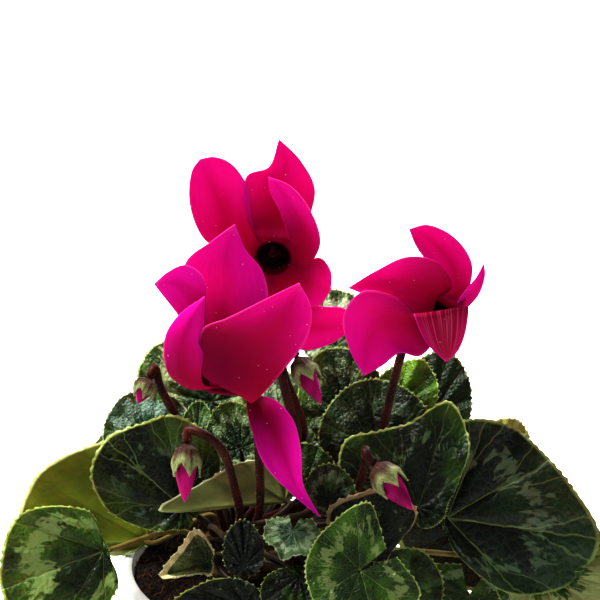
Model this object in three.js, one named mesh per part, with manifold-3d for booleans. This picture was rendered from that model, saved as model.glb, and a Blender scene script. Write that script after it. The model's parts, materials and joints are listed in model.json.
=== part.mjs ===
import * as THREE from 'three';
import Module from 'manifold-3d';

// Potted cyclamen in flower. Millimetres, +Z up, pot standing on z = 0 on the Z axis, front at -Y.

const wasm = await Module();
wasm.setup();
const { Manifold, Mesh } = wasm;

// Pot, soil and tuber
const POT = {
  height: 94, rimRadius: 53, footRadius: 37,
  wall: 2, floor: 3.4, rimDepth: 14, rimStep: 2, sides: 32,
};
const DRAIN = { count: 5, ring: 24, radius: 3.6, sides: 8 };
const SOIL = { edge: 90, level: 96, roughness: 0.9, sides: 32 };
const TUBER = { x: -5, y: 1, radius: 20, crown: 13, depth: 14, sides: 15 };
const GAP = 0.3;

// Blades, petals and stems
const BLADE = 0.8;
const PETAL = 0.8;
const SEPAL = 0.8;
const PETIOLE = { radius: 1.25, sides: 4, pieces: 4 };
const SCAPE = { foot: 1.4, radius: 1.75, sides: 5, pieces: 8 };
const SOCKET = { depth: 4, lift: 3.5, room: 0.55, rings: [11, 14.2, 17.2] };

// The plant is described as it is seen from the front, in a view 600 units wide and high:
// across, down, and how far the place lies behind the pot's axis in millimetres.
const VIEW_PITCH = THREE.MathUtils.degToRad(25);
const VIEW_DISTANCE = 1000;
const VIEW_FOCAL = 2500;
const VIEW_TARGET = new THREE.Vector3(18, 43.6, SOIL.level + 93.5);
const RIGHT = new THREE.Vector3(1, 0, 0);
const UP = new THREE.Vector3(0, Math.sin(VIEW_PITCH), Math.cos(VIEW_PITCH));
const AHEAD = new THREE.Vector3(0, Math.cos(VIEW_PITCH), -Math.sin(VIEW_PITCH));
const EYE = VIEW_TARGET.clone().addScaledVector(AHEAD, -VIEW_DISTANCE);

// Leaves. seen: where the stalk meets the blade. heading: which way the tip points in the view.
// lean: how far the tip comes towards the viewer. turn: roll about the midrib, 180 shows the underside.
// length: from the stalk to the tip. lobes: length of the rear lobes as a share of it.
const LEAF = {
  lean: 10, turn: 0, lobes: 0.42, taper: 0.15, cup: 0.1, fold: 0, droop: 0.1,
  wave: 0.04, waves: 5, teeth: 12, reach: 14,
};
const LEAVES = {
  leaf_01: {
    seen: [103, 551, -26], heading: 200, lean: 14, from: -4, reach: 12,
    edge: [2, 3, 18, 36, 42, 46, 17, 3, 2],
  },
  leaf_02: {
    seen: [146, 541, 6], heading: 151, lean: -6, turn: 178, cup: 0.05,
    edge: [2, 2, 2, 2, 13, 49, 52, 45, 40, 24, 16, 3, 2],
  },
  leaf_03: {
    seen: [182, 507, -4], heading: 138, lean: 4, cup: 0.12, teeth: 14,
    edge: [7, 8, 10, 16, 25, 32, 37, 37, 40.5, 38.5, 30, 20, 13.8, 10, 9, 9, 7],
  },
  leaf_04: { seen: [150, 440, 22], heading: 108, lean: -6, length: 21, width: 36 },
  leaf_05: { seen: [212, 402, 32], heading: 145, lean: -10, length: 34, width: 44 },
  leaf_06: { seen: [240, 448, 9], heading: 108, lean: -10, length: 19, width: 25, cup: 0.2 },
  leaf_07: {
    seen: [285, 501, -9], heading: 184.5, lean: 4, turn: 178, cup: 0, droop: 0, wave: 0.01,
    edge: [2, 2, 2, 2, 2, 2, 2, 3, 49, 31, 24.5, 18, 9, 7, 5, 4, 3],
  },
  leaf_08: {
    seen: [244, 568, -61], heading: 92, lean: 0, length: 18, width: 15.5,
    lobes: 0.2, teeth: 10, from: 92, reach: 10,
  },
  leaf_09: { seen: [246, 608, -58], heading: 190, lean: 16, length: 34, width: 26, lobes: 0.22 },
  leaf_10: {
    seen: [207, 563, -36], heading: 196, lean: 10, fold: 0.4, teeth: 10,
    edge: [2, 6, 14.4, 12.8, 18.8, 5, 5, 3, 2],
  },
  leaf_11: {
    seen: [293, 531, -34], heading: 262, lean: 55, length: 19,
    width: 22, cup: 0.25, wave: 0.12,
  },
  leaf_12: {
    seen: [360, 571, -56], heading: 210, lean: 12, cup: 0.05, from: 220,
    edge: [13, 26, 21, 21, 21, 24, 25.6, 25, 15],
  },
  leaf_13: {
    seen: [380, 556, -42], heading: 95, lean: 10, wave: 0.1,
    edge: [2, 3, 4, 23, 26.5, 27, 15, 3, 2],
  },
  leaf_14: {
    seen: [418, 508, -22], heading: 73, lean: -6, cup: 0, wave: 0.05, teeth: 14,
    edge: [6, 8, 9, 10, 11, 12, 18, 33, 43.6, 33.5, 33.5, 38.5, 33.5, 27, 20, 14, 10],
  },
  leaf_15: { seen: [378, 448, 14], heading: 98, lean: -8, length: 28, width: 46 },
  leaf_16: {
    seen: [396, 410, 26], heading: 56, lean: -10, length: 23,
    width: 26, wave: 0.1, reach: 26,
  },
  leaf_17: { seen: [430, 418, 36], heading: 76, lean: -8, length: 28, width: 31 },
  leaf_18: {
    seen: [447, 518, -11], heading: -8, lean: 4, cup: 0.04, teeth: 14,
    edge: [2, 2, 2.5, 3.5, 5.6, 16.4, 38, 54.5, 60.4, 51, 45.6, 44, 40, 34, 24, 14, 8],
  },
  leaf_19: {
    seen: [490, 470, 13], heading: 60, lean: 0, turn: 180, length: 23,
    width: 26, teeth: 10, reach: 4, from: 250,
  },
  leaf_20: { seen: [535, 566, -14], heading: -14, lean: 10, length: 38, width: 46 },
  leaf_21: {
    seen: [470, 528, 8], heading: 237, lean: -4, cup: 0.1, from: 195,
    edge: [2, 2, 3, 8, 22, 30, 29, 25, 23, 24, 26, 26, 22, 14, 5, 3, 2],
  },
  leaf_22: { seen: [196, 438, 17], heading: 84, lean: -6, length: 15, width: 13, fold: 0.6, teeth: 10 },
  leaf_23: { seen: [345, 412, 34], heading: 102, lean: -8, length: 27, width: 36 },
  leaf_24: { seen: [336, 346, 62], heading: 88, lean: -20, length: 25, width: 30, teeth: 10 },
  leaf_25: { seen: [330, 500, -34], heading: 96, lean: 0, length: 14, width: 20, teeth: 10 },
  leaf_26: { seen: [304, 490, 3], heading: 95, lean: 0, length: 19, width: 27, lobes: 0.15, teeth: 10 },
  leaf_27: {
    seen: [300, 576, -53.5], heading: 262, lean: 18, length: 22,
    width: 28, lobes: 0.15, teeth: 10,
  },
  leaf_28: { seen: [468, 596, -8], heading: 256, lean: 16, length: 24, width: 54, lobes: 0.5 },
  leaf_29: { seen: [402, 596, -44], heading: 74, lean: 0, length: 19, width: 30, teeth: 10 },
  leaf_30: { seen: [206, 458, 46], heading: 116, lean: -54, length: 38, width: 46, teeth: 10 },
  leaf_31: { seen: [262, 438, 44], heading: 92, lean: -46, length: 40, width: 48, teeth: 10 },
  leaf_32: { seen: [336, 444, 52], heading: 84, lean: -52, length: 38, width: 46, teeth: 10 },
  leaf_33: { seen: [430, 450, 48], heading: 40, lean: -60, length: 36, width: 44, teeth: 10 },
  leaf_34: { seen: [130, 470, 30], heading: 150, lean: -50, length: 30, width: 38, teeth: 10 },
};

// Blooms. mouth: middle of the flower's opening, which looks along heading and lean. Each petal leaves
// the rim at an angle round it. Its two margins run through places in the view and meet at its tip.
// hollow: how far its middle lies behind its margins. root: where the stem stands in the crown.
const BLOOM = { rim: 6.8, spread: 34, depth: 9, flare: 3.2 };
const BLOOMS = {
  bloom_top: {
    mouth: [273, 258, 2], heading: 262, lean: 66, root: [-0.6, 6.4],
    stem: [[303, 440, 16], [296, 405, 14], [284, 374, 15], [276, 320, 22], [273, 262, 29], [272, 252, 22]],
    petals: [
      {
        rim: 168, tip: [200, 159, 10], hollow: 2.5,
        margins: [
          [[254, 225, 4], [246, 184, 7], [230, 163, 8], [214, 157, 9]],
          [[236, 256, 2], [205, 240, 4], [190, 205, 7], [192, 171, 9]],
        ],
      },
      {
        rim: 97, tip: [279, 139, 14], hollow: 2,
        margins: [
          [[305, 225, 8], [315, 190, 11], [300, 160, 13]],
          [[246, 215, 6], [247, 176, 9], [269, 167, 12]],
        ],
      },
      {
        rim: 25, tip: [268, 177, -1], hollow: 1.5,
        margins: [
          [[306, 268, -2], [320, 244, -4], [311, 212, -4], [290, 186, -3]],
          [[289, 238, -1], [280, 212, 0], [270, 192, 0]],
        ],
      },
      {
        rim: 313, tip: [331, 290, 3], hollow: 1,
        margins: [
          [[279, 291, 1], [300, 304, 2], [318, 306, 3]],
          [[304, 264, -1], [320, 258, 0], [331, 272, 1]],
        ],
      },
      {
        rim: 241, tip: [356, 326, 18], hollow: 1,
        margins: [
          [[262, 296, 8], [298, 349, 13], [330, 344, 16]],
          [[286, 292, 8], [320, 306, 12], [345, 309, 16]],
        ],
      },
    ],
  },
  bloom_left: {
    mouth: [228, 390, -24], heading: 266, lean: 10, root: [2.3, -7.8],
    stem: [[259, 512, -15], [259, 455, -19], [255, 395, -16], [248, 350, -17], [238, 341, -20]],
    petals: [
      {
        rim: 60, tip: [299, 283, -38], hollow: 2.5,
        margins: [
          [[252, 403, -36], [284, 370, -40], [308, 335, -42], [311, 308, -40]],
          [[203, 375, -34], [202, 330, -36], [228, 318, -38], [262, 301, -38]],
        ],
      },
      {
        rim: 140, tip: [205, 296, -31], hollow: -2,
        margins: [
          [[204, 385, -34], [203, 350, -35], [204, 320, -34]],
          [[188, 388, -30], [169, 374, -31], [165, 338, -32], [178, 316, -32]],
        ],
      },
      {
        rim: 205, tip: [154, 284, -24], hollow: 1,
        margins: [
          [[196, 375, -24], [190, 335, -24], [178, 315, -24], [164, 297, -24]],
          [[202, 362, -17], [206, 310, -22], [204, 278, -25], [186, 265, -24], [168, 272, -24]],
        ],
      },
      {
        rim: 285, tip: [235, 224, -7], hollow: 2,
        margins: [
          [[198, 362, -6], [184, 300, -7], [186, 262, -8], [212, 241, -8]],
          [[252, 362, -5], [268, 300, -6], [262, 270, -7], [246, 250, -7]],
        ],
      },
      {
        rim: 0, tip: [321, 518, -40], hollow: 2,
        margins: [
          [[275, 400, -30], [293, 420, -34], [301, 452, -37], [303, 484, -39]],
          [[247, 405, -32], [252, 430, -36], [264, 464, -38], [292, 494, -39]],
        ],
      },
    ],
  },
  bloom_right: {
    mouth: [438, 316, 3], heading: 225, lean: 40, root: [6.4, 2.6],
    stem: [
      [305, 504, -6], [350, 490, -1], [372, 455, 2], [383, 428, 4], [392, 390, 3],
      [401, 355, 4], [412, 320, 14], [436, 290, 22], [452, 290, 20],
    ],
    petals: [
      {
        rim: 100, tip: [409, 229, 6], hollow: 2,
        margins: [
          [[466, 298, 2], [472, 265, 4], [456, 239, 6], [428, 225, 6]],
          [[448, 290, 1], [432, 268, 3], [416, 246, 5]],
        ],
      },
      {
        rim: 165, tip: [348, 288, -3], hollow: 2,
        margins: [
          [[452, 288, -2], [436, 262, -4], [408, 257, -5], [376, 271, -4]],
          [[430, 322, -4], [402, 310, -6], [376, 299, -6]],
        ],
      },
      {
        rim: 237, tip: [364, 376, -14], hollow: 2.5,
        margins: [
          [[420, 318, -6], [395, 297, -9], [362, 292, -11], [344, 315, -12], [349, 348, -13]],
          [[436, 338, -4], [420, 356, -6], [400, 353, -9], [382, 366, -12]],
        ],
      },
      {
        rim: 309, tip: [446, 362, -8], hollow: -2.5,
        margins: [
          [[414, 315, -11], [426, 342, -10]],
          [[468, 306, -5], [465, 333, -6], [457, 352, -8]],
        ],
      },
      {
        rim: 21, tip: [484, 263, 7], hollow: 1,
        margins: [
          [[462, 314, 0], [478, 296, 3], [485, 276, 5]],
          [[456, 307, -1], [466, 290, 2], [476, 278, 4]],
        ],
      },
    ],
  },
};

// Buds. seen: where the stem meets the bud, which points along heading and lean. sepals: how far down
// the bud its sepals reach.
const BUDS = {
  bud_left: {
    seen: [149, 379, 6], heading: 246, lean: 10, length: 10.5, radius: 3.7, sepals: 0.8, root: [-6.6, 0.4],
    stem: [[194, 441, 9], [181, 424, 12], [168, 402, 12], [160, 387, 11]],
  },
  bud_front: {
    seen: [187, 444, -30], heading: 268, lean: 6, length: 22, radius: 4.5, sepals: 0.6, root: [-2.3, -7.8],
    stem: [[240, 514, -15], [233, 482, -24], [222, 450, -28], [205, 435, -30]],
  },
  bud_middle: {
    seen: [297, 358, -8], heading: 298, lean: 10, length: 20, radius: 4.2, sepals: 0.6, root: [0.8, -0.8],
    stem: [[297, 440, -5], [289, 405, -8], [282, 372, -10], [285, 352, -9]],
  },
  bud_right: {
    seen: [375, 465, -38], heading: 310, lean: 10, length: 22, radius: 5, sepals: 0.6, root: [6.6, -3.4],
    stem: [[292, 520, -13], [330, 503, -23], [357, 488, -27], [364, 466, -31], [366, 450, -34]],
  },
};

// Points on the ray through a place in the view
function seen([across, down, behind]) {
  const ray = AHEAD.clone()
    .addScaledVector(RIGHT, (across - 300) / VIEW_FOCAL)
    .addScaledVector(UP, (300 - down) / VIEW_FOCAL);
  return ray.multiplyScalar((behind - EYE.y) / ray.y).add(EYE);
}

const rad = THREE.MathUtils.degToRad;

// Closed body from a list of points and triangles that face outward
function body(points, faces) {
  const vertProperties = new Float32Array(points.flatMap((p) => [p.x, p.y, p.z]));
  return new Manifold(new Mesh({ numProp: 3, vertProperties, triVerts: new Uint32Array(faces.flat()) }));
}

// Strip of triangles between two rows of points, numbered from a and from b, with their own counts
function stitch(a, countA, b, countB) {
  const faces = [];
  let i = 0;
  let j = 0;
  while (i < countA || j < countB) {
    if (j === countB || (i < countA && (i + 1) * countB <= (j + 1) * countA)) {
      faces.push([a + i, b + j, a + i + 1]);
      i += 1;
    } else {
      faces.push([a + i, b + j, b + j + 1]);
      j += 1;
    }
  }
  return faces;
}

// Both faces of an open sheet and the wall round its rim
function thicken(points, faces, thickness) {
  const normals = points.map(() => new THREE.Vector3());
  const edges = new Map();
  for (const [i, j, k] of faces) {
    const normal = points[j].clone().sub(points[i]).cross(points[k].clone().sub(points[i]));
    for (const n of [i, j, k]) normals[n].add(normal);
    for (const [p, q] of [[i, j], [j, k], [k, i]]) {
      if (!edges.delete(`${q},${p}`)) edges.set(`${p},${q}`, [p, q]);
    }
  }
  const half = thickness / 2;
  const front = points.map((p, n) => p.clone().addScaledVector(normals[n].normalize(), half));
  const back = points.map((p, n) => p.clone().addScaledVector(normals[n], -half));
  const count = points.length;
  const all = [...faces, ...faces.map(([i, j, k]) => [i + count, k + count, j + count])];
  for (const [p, q] of edges.values()) all.push([p, p + count, q], [q, p + count, q + count]);
  return body([...front, ...back], all);
}

// Round rod through a row of points, with its radius by the share of its length
function rod(centres, radius, sides) {
  const last = centres.length - 1;
  const points = [];
  const faces = [];
  let across = null;
  centres.forEach((centre, i) => {
    const way = centres[Math.min(i + 1, last)].clone().sub(centres[Math.max(i - 1, 0)]).normalize();
    across ??= new THREE.Vector3(0, 0, 1).cross(way).lengthSq() > 0.01
      ? new THREE.Vector3(0, 0, 1).cross(way)
      : new THREE.Vector3(1, 0, 0);
    across = across.clone().addScaledVector(way, -across.dot(way)).normalize();
    const other = way.clone().cross(across);
    for (let k = 0; k < sides; k += 1) {
      const angle = (2 * Math.PI * k) / sides;
      points.push(centre.clone()
        .addScaledVector(across, Math.cos(angle) * radius(i / last))
        .addScaledVector(other, Math.sin(angle) * radius(i / last)));
    }
  });
  for (let i = 0; i < last; i += 1) {
    for (let k = 0; k < sides; k += 1) {
      const next = (k + 1) % sides;
      const [a, b, c, d] = [i * sides + k, i * sides + next, (i + 1) * sides + k, (i + 1) * sides + next];
      faces.push([a, b, d], [a, d, c]);
    }
  }
  const end = last * sides;
  for (let k = 1; k < sides - 1; k += 1) faces.push([0, k + 1, k], [end, end + k, end + k + 1]);
  return body(points, faces);
}

// Body of rings round an axis, closed at both ends of its profile of [radius, height]
function turned(profile, sides, shape = (point) => point) {
  const points = [];
  const faces = [];
  const rows = profile.slice(1, -1);
  rows.forEach(([radius, height], row) => {
    for (let k = 0; k < sides; k += 1) {
      const angle = (2 * Math.PI * k) / sides;
      const point = new THREE.Vector3(radius * Math.cos(angle), radius * Math.sin(angle), height);
      points.push(shape(point, angle, row));
    }
  });
  const foot = points.push(new THREE.Vector3(0, 0, profile[0][1])) - 1;
  const top = points.push(shape(new THREE.Vector3(0, 0, profile.at(-1)[1]), 0, rows.length)) - 1;
  for (let k = 0; k < sides; k += 1) {
    const next = (k + 1) % sides;
    faces.push([foot, next, k]);
    for (let row = 0; row < rows.length - 1; row += 1) {
      const [a, b] = [row * sides + k, row * sides + next];
      faces.push([a, b, b + sides], [a, b + sides, a + sides]);
    }
    const last = (rows.length - 1) * sides;
    faces.push([last + k, last + next, top]);
  }
  return body(points, faces);
}

// Axes of a blade or a flower: the way it points, its left side and the face it shows
function facing(heading, lean, turn) {
  const axis = RIGHT.clone().multiplyScalar(Math.cos(rad(heading)) * Math.cos(rad(lean)))
    .addScaledVector(UP, Math.sin(rad(heading)) * Math.cos(rad(lean)))
    .addScaledVector(AHEAD, -Math.sin(rad(lean)));
  const toViewer = AHEAD.clone().negate();
  const normal = toViewer.addScaledVector(axis, -toViewer.dot(axis)).normalize();
  normal.applyAxisAngle(axis, rad(turn));
  return { axis, normal, side: normal.clone().cross(axis) };
}

// Value of a row of numbers at a share of its length, along a smooth curve through them
function along(row, share) {
  const place = share * (row.length - 1);
  const k = Math.min(Math.floor(place), row.length - 2);
  const [a, b] = [row[k], row[k + 1]];
  const before = row[k - 1] ?? a;
  const after = row[k + 2] ?? b;
  const t = place - k;
  const bend = 2 * before - 5 * a + 4 * b - after + t * (3 * (a - b) + after - before);
  return a + 0.5 * t * (b - before + t * bend);
}

// Outline of a blade round its stalk, from -1 at one side of the notch over 0 at the tip to 1
function outline(leaf, angle) {
  const swing = angle * rad(170);
  if (leaf.edge) {
    const far = Math.max(1.5, along(leaf.edge, (angle + 1) / 2));
    return [far * Math.cos(swing), far * Math.sin(swing)];
  }
  const rear = leaf.length * leaf.lobes;
  const half = (leaf.width / 2) * (1 - leaf.taper * Math.cos(swing));
  return [(leaf.length - rear) / 2 + ((leaf.length + rear) / 2) * Math.cos(swing), half * Math.sin(swing)];
}

// Place on a blade at a share of the way from the stalk to the outline
function onBlade(leaf, angle, share) {
  const size = outline(leaf, 0)[0];
  const [x, y] = outline(leaf, angle).map((length) => length * share);
  const far = Math.hypot(x, y) / size;
  const lift = leaf.cup * far ** 2
    + leaf.fold * (Math.hypot(y / size, 0.1) - 0.1)
    - leaf.droop * Math.max(0, x / size) ** 2
    + leaf.wave * far ** 2 * Math.sin(leaf.waves * angle * Math.PI);
  const { axis, side, normal } = facing(leaf.heading, leaf.lean, leaf.turn);
  return seen(leaf.seen)
    .addScaledVector(axis, x)
    .addScaledVector(side, y)
    .addScaledVector(normal, lift * size);
}

function blade(leaf) {
  const rings = [[0.36, leaf.teeth / 2], [0.72, leaf.teeth], [1, leaf.teeth * 2]];
  const points = [seen(leaf.seen)];
  const faces = [];
  let before = null;
  for (const [share, count] of rings) {
    const first = points.length;
    for (let k = 0; k <= count; k += 1) {
      const notch = share === 1 && k % 2 === 1 ? 0.965 : 1;
      points.push(onBlade(leaf, (2 * k) / count - 1, share * notch));
    }
    if (before) faces.push(...stitch(before.first, before.count, first, count));
    else for (let k = 0; k < count; k += 1) faces.push([0, first + k, first + k + 1]);
    before = { first, count };
  }
  return thicken(points, faces, BLADE);
}

// Socket in the tuber's crown at a place on it, with the way its stem leaves
function socketAt([x, y]) {
  const out = Math.hypot(x, y) / TUBER.radius;
  const height = SOIL.level + TUBER.crown * Math.sqrt(1 - out ** 2);
  return {
    mouth: new THREE.Vector3(TUBER.x + x, TUBER.y + y, height),
    way: new THREE.Vector3(x / TUBER.radius, y / TUBER.radius, 1).normalize(),
  };
}

// Leaf stalks take the sockets in their order round the crown, the lowest in the outer ring
function leafSockets() {
  const joint = (name) => seen(LEAVES[name].seen);
  const azimuth = (name) => Math.atan2(joint(name).y - TUBER.y, joint(name).x - TUBER.x);
  const names = Object.keys(LEAVES).sort((a, b) => azimuth(a) - azimuth(b));
  const rings = SOCKET.rings.length;
  const steps = Math.ceil(names.length / rings);
  const places = new Map();
  for (let step = 0; step < steps; step += 1) {
    const few = names.slice(step * rings, (step + 1) * rings).sort((a, b) => joint(b).z - joint(a).z);
    few.forEach((name, ring) => {
      const angle = (2 * Math.PI * (step + (ring % 2) / 2)) / steps - Math.PI;
      const out = SOCKET.rings[ring];
      places.set(name, socketAt([out * Math.cos(angle), out * Math.sin(angle)]));
    });
  }
  return places;
}

function rooted(socket) {
  return [
    socket.mouth.clone().addScaledVector(socket.way, GAP - SOCKET.depth),
    socket.mouth.clone().addScaledVector(socket.way, SOCKET.lift),
  ];
}

function petiolePoints(leaf, socket) {
  const [foot, start] = rooted(socket);
  const joint = seen(leaf.seen);
  const { axis, normal } = facing(leaf.heading, leaf.lean, leaf.turn);
  const back = leaf.from === undefined ? axis.negate() : facing(leaf.from, 0, 0).axis;
  const bow = new THREE.CubicBezierCurve3(
    start,
    start.clone().addScaledVector(socket.way, start.distanceTo(joint) * 0.25),
    joint.clone().addScaledVector(normal, -leaf.reach * 0.9).addScaledVector(back, leaf.reach * 0.6),
    joint,
  );
  return [foot, ...bow.getPoints(PETIOLE.pieces)];
}

function leafBody(leaf, socket) {
  return blade(leaf).add(rod(petiolePoints(leaf, socket), () => PETIOLE.radius, PETIOLE.sides));
}

// Turned body moved so that its height runs along a frame's axis
function placed(manifold, origin, { axis, normal, side }) {
  return manifold.transform([
    side.x, side.y, side.z, 0,
    normal.x, normal.y, normal.z, 0,
    axis.x, axis.y, axis.z, 0,
    origin.x, origin.y, origin.z, 1,
  ]);
}

// Stem from its socket through the places in the view to a foot that points along an axis
function stemBody(flower, foot, axis) {
  const [root, start] = rooted(socketAt(flower.root));
  const bow = new THREE.CatmullRomCurve3([
    start,
    ...flower.stem.map(seen),
    foot.clone().addScaledVector(axis, -4),
    foot.clone().addScaledVector(axis, -1),
  ], false, 'centripetal');
  const radius = (share) => THREE.MathUtils.lerp(SCAPE.foot, SCAPE.radius, Math.min(1, share * 3));
  const end = foot.clone().addScaledVector(axis, 0.3);
  return rod([root, ...bow.getSpacedPoints(SCAPE.pieces), end], radius, SCAPE.sides);
}

// Margins of a petal: each leaves the rim outwards, runs through its places and ends at the tip
function petalCurves(petal, origin, frame) {
  const round = (angle) => frame.side.clone().multiplyScalar(Math.cos(rad(angle)))
    .addScaledVector(frame.normal, Math.sin(rad(angle)));
  const margins = petal.margins.map((margin, k) => {
    const out = round(petal.rim + (k === 0 ? -1 : 1) * BLOOM.spread);
    const start = origin.clone().addScaledVector(frame.axis, -0.3).addScaledVector(out, BLOOM.rim);
    const flare = origin.clone().addScaledVector(frame.axis, 0.5);
    flare.addScaledVector(out, BLOOM.rim + BLOOM.flare);
    const places = [start, flare, ...margin.map(seen), seen(petal.tip)];
    return new THREE.CatmullRomCurve3(places, false, 'centripetal');
  });
  return { margins, out: round(petal.rim) };
}

// Place on a petal: share of the way from the rim to the tip, and across it from 0 to 1
function onPetal(petal, { margins, out }, way, across) {
  const point = margins[0].getPointAt(way).lerp(margins[1].getPointAt(way), across);
  const middle = 4 * across * (1 - across);
  const round = BLOOM.rim * (1 - Math.cos(rad(BLOOM.spread))) * Math.max(0, 1 - 2 * way);
  return point.addScaledVector(out, middle * round)
    .addScaledVector(AHEAD, petal.hollow * middle * Math.sin(way * Math.PI));
}

function petalBody(petal, origin, frame) {
  const [rows, columns] = [6, 4];
  const curves = petalCurves(petal, origin, frame);
  const points = [];
  const faces = [];
  for (let i = 0; i < rows; i += 1) {
    for (let j = 0; j <= columns; j += 1) points.push(onPetal(petal, curves, i / rows, j / columns));
  }
  const tip = points.push(seen(petal.tip)) - 1;
  for (let i = 0; i < rows; i += 1) {
    for (let j = 0; j < columns; j += 1) {
      const a = i * (columns + 1) + j;
      const b = a + columns + 1;
      if (i < rows - 1) faces.push([a, a + 1, b + 1], [a, b + 1, b]);
      else faces.push([a, a + 1, tip]);
    }
  }
  return thicken(points, faces, PETAL);
}

function corolla(bloom) {
  const origin = seen(bloom.mouth);
  const frame = facing(bloom.heading, bloom.lean, 0);
  const { rim, depth } = BLOOM;
  const cup = turned([
    [0, -depth], [rim * 0.6, -depth * 0.93], [rim + 0.5, -depth * 0.55], [rim + 0.5, 0],
    [rim - 0.5, 0], [rim - 0.5, -depth * 0.5], [0, 1.2 - depth],
  ], 10);
  return Manifold.union([
    placed(cup, origin, frame),
    ...bloom.petals.map((petal) => petalBody(petal, origin, frame)),
  ]);
}

// Five pointed sepals grown together at the foot of a flower whose outside is a profile of
// [radius, distance from the foot]; between the points they reach little farther than the last row but one
function calyx(profile, flats) {
  const rows = (extra) => profile.map(([radius, height]) => [radius * flats + extra, height]);
  const [low, high] = profile.slice(-2);
  const share = 0.2;
  const columns = 10;
  const narrow = THREE.MathUtils.lerp(low[0], high[0], share) / high[0];
  const height = THREE.MathUtils.lerp(low[1], high[1], share);
  const notched = (point, angle, row) => {
    const between = Math.round((angle * columns) / (2 * Math.PI)) % 2 === 1;
    const atTip = row === profile.length - 1 || row === profile.length;
    return between && atTip ? new THREE.Vector3(point.x * narrow, point.y * narrow, height) : point;
  };
  const outside = [[0, -SEPAL - GAP], ...rows(GAP + SEPAL)];
  const inside = [...rows(GAP).toReversed(), [0, -GAP]];
  return turned([...outside, ...inside], columns, notched);
}

function bloomStalk(bloom) {
  const frame = facing(bloom.heading, bloom.lean, 0);
  const { rim, depth } = BLOOM;
  const foot = seen(bloom.mouth).addScaledVector(frame.axis, -depth);
  const profile = [[rim * 0.7, depth * 0.07], [rim + 0.4, depth * 0.3], [rim + 0.5, depth * 0.45]];
  const sepals = calyx(profile, 1.02);
  const end = foot.clone().addScaledVector(frame.axis, -GAP - SEPAL);
  return placed(sepals, foot, frame).add(stemBody(bloom, end, frame.axis));
}

const BUD_PROFILE = [[0.62, 0.08], [1, 0.3], [0.86, 0.57], [0.5, 0.8], [0.2, 0.94]];

function budShape(bud) {
  return BUD_PROFILE.map(([radius, height]) => [radius * bud.radius, height * bud.length]);
}

function budPetals(bud) {
  const ridged = (point, angle) => {
    const twist = 5 * angle + (4 * point.z) / bud.length;
    const ridge = 1 - 0.07 * (1 - Math.cos(twist));
    return point.multiply(new THREE.Vector3(ridge, ridge, 1));
  };
  const profile = [[0, 0], ...budShape(bud), [0, bud.length]];
  return placed(turned(profile, 15, ridged), seen(bud.seen), facing(bud.heading, bud.lean, 0));
}

function budStalk(bud) {
  const frame = facing(bud.heading, bud.lean, 0);
  const foot = seen(bud.seen);
  const shape = budShape(bud).filter(([, height]) => height <= bud.sepals * bud.length);
  const end = foot.clone().addScaledVector(frame.axis, -GAP - SEPAL);
  return placed(calyx(shape, 1.1), foot, frame).add(stemBody(bud, end, frame.axis));
}

// Tuber with its sockets, the soil round it and the pot
function tuberShape(extra) {
  const rows = [-60, -20, 10, 30].map((turn) => {
    const height = Math.sin(rad(turn));
    const reach = (height < 0 ? TUBER.depth : TUBER.crown) + extra;
    return [(TUBER.radius + extra) * Math.cos(rad(turn)), height * reach];
  });
  const lumpy = (point, angle, row) => {
    const lump = 1 + 0.03 * Math.sin(3 * angle + row) + 0.02 * Math.sin(7 * angle + 2 * row);
    return point.multiply(new THREE.Vector3(lump, lump, 1));
  };
  return turned([[0, -TUBER.depth - extra], ...rows, [0, TUBER.crown + extra]], TUBER.sides, lumpy)
    .translate([TUBER.x, TUBER.y, SOIL.level]);
}

function tuber(leafPlaces) {
  const hole = (socket, radius, sides) => rod([
    socket.mouth.clone().addScaledVector(socket.way, -SOCKET.depth),
    socket.mouth.clone().addScaledVector(socket.way, 8),
  ], () => radius + SOCKET.room, sides);
  const flowers = [...Object.values(BLOOMS), ...Object.values(BUDS)];
  return tuberShape(0).subtract(Manifold.union([
    ...[...leafPlaces.values()].map((socket) => hole(socket, PETIOLE.radius, PETIOLE.sides)),
    ...flowers.map((flower) => hole(socketAt(flower.root), SCAPE.foot, SCAPE.sides)),
  ]));
}

// Inside of the pot as [radius, height] from its floor to its rim, drawn in by a gap
function potInside(gap) {
  const ledge = POT.height - POT.rimDepth;
  const slope = (POT.rimRadius - POT.rimStep - POT.footRadius) / POT.height;
  return [0, ledge, POT.height].map((height) => [
    POT.footRadius + slope * height - POT.wall - gap,
    Math.max(height, POT.floor + gap),
  ]);
}

function pot() {
  const ledge = POT.height - POT.rimDepth;
  const inside = potInside(0);
  const shell = turned([
    [0, 0], [POT.footRadius - 1, 0], [POT.footRadius, 1],
    [inside[1][0] + POT.wall, ledge], [POT.rimRadius - 0.8, ledge + 0.2], [POT.rimRadius, POT.height - 0.6],
    [POT.rimRadius - 0.8, POT.height], ...inside.toReversed(), [0, POT.floor],
  ], POT.sides);
  const drains = Array.from({ length: DRAIN.count }, (_, k) => {
    const angle = (2 * Math.PI * (k + 0.5)) / DRAIN.count;
    const place = new THREE.Vector3(Math.cos(angle) * DRAIN.ring, Math.sin(angle) * DRAIN.ring, -1);
    return rod([place, place.clone().setZ(8)], () => DRAIN.radius, DRAIN.sides);
  });
  return shell.subtract(Manifold.union(drains));
}

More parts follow.
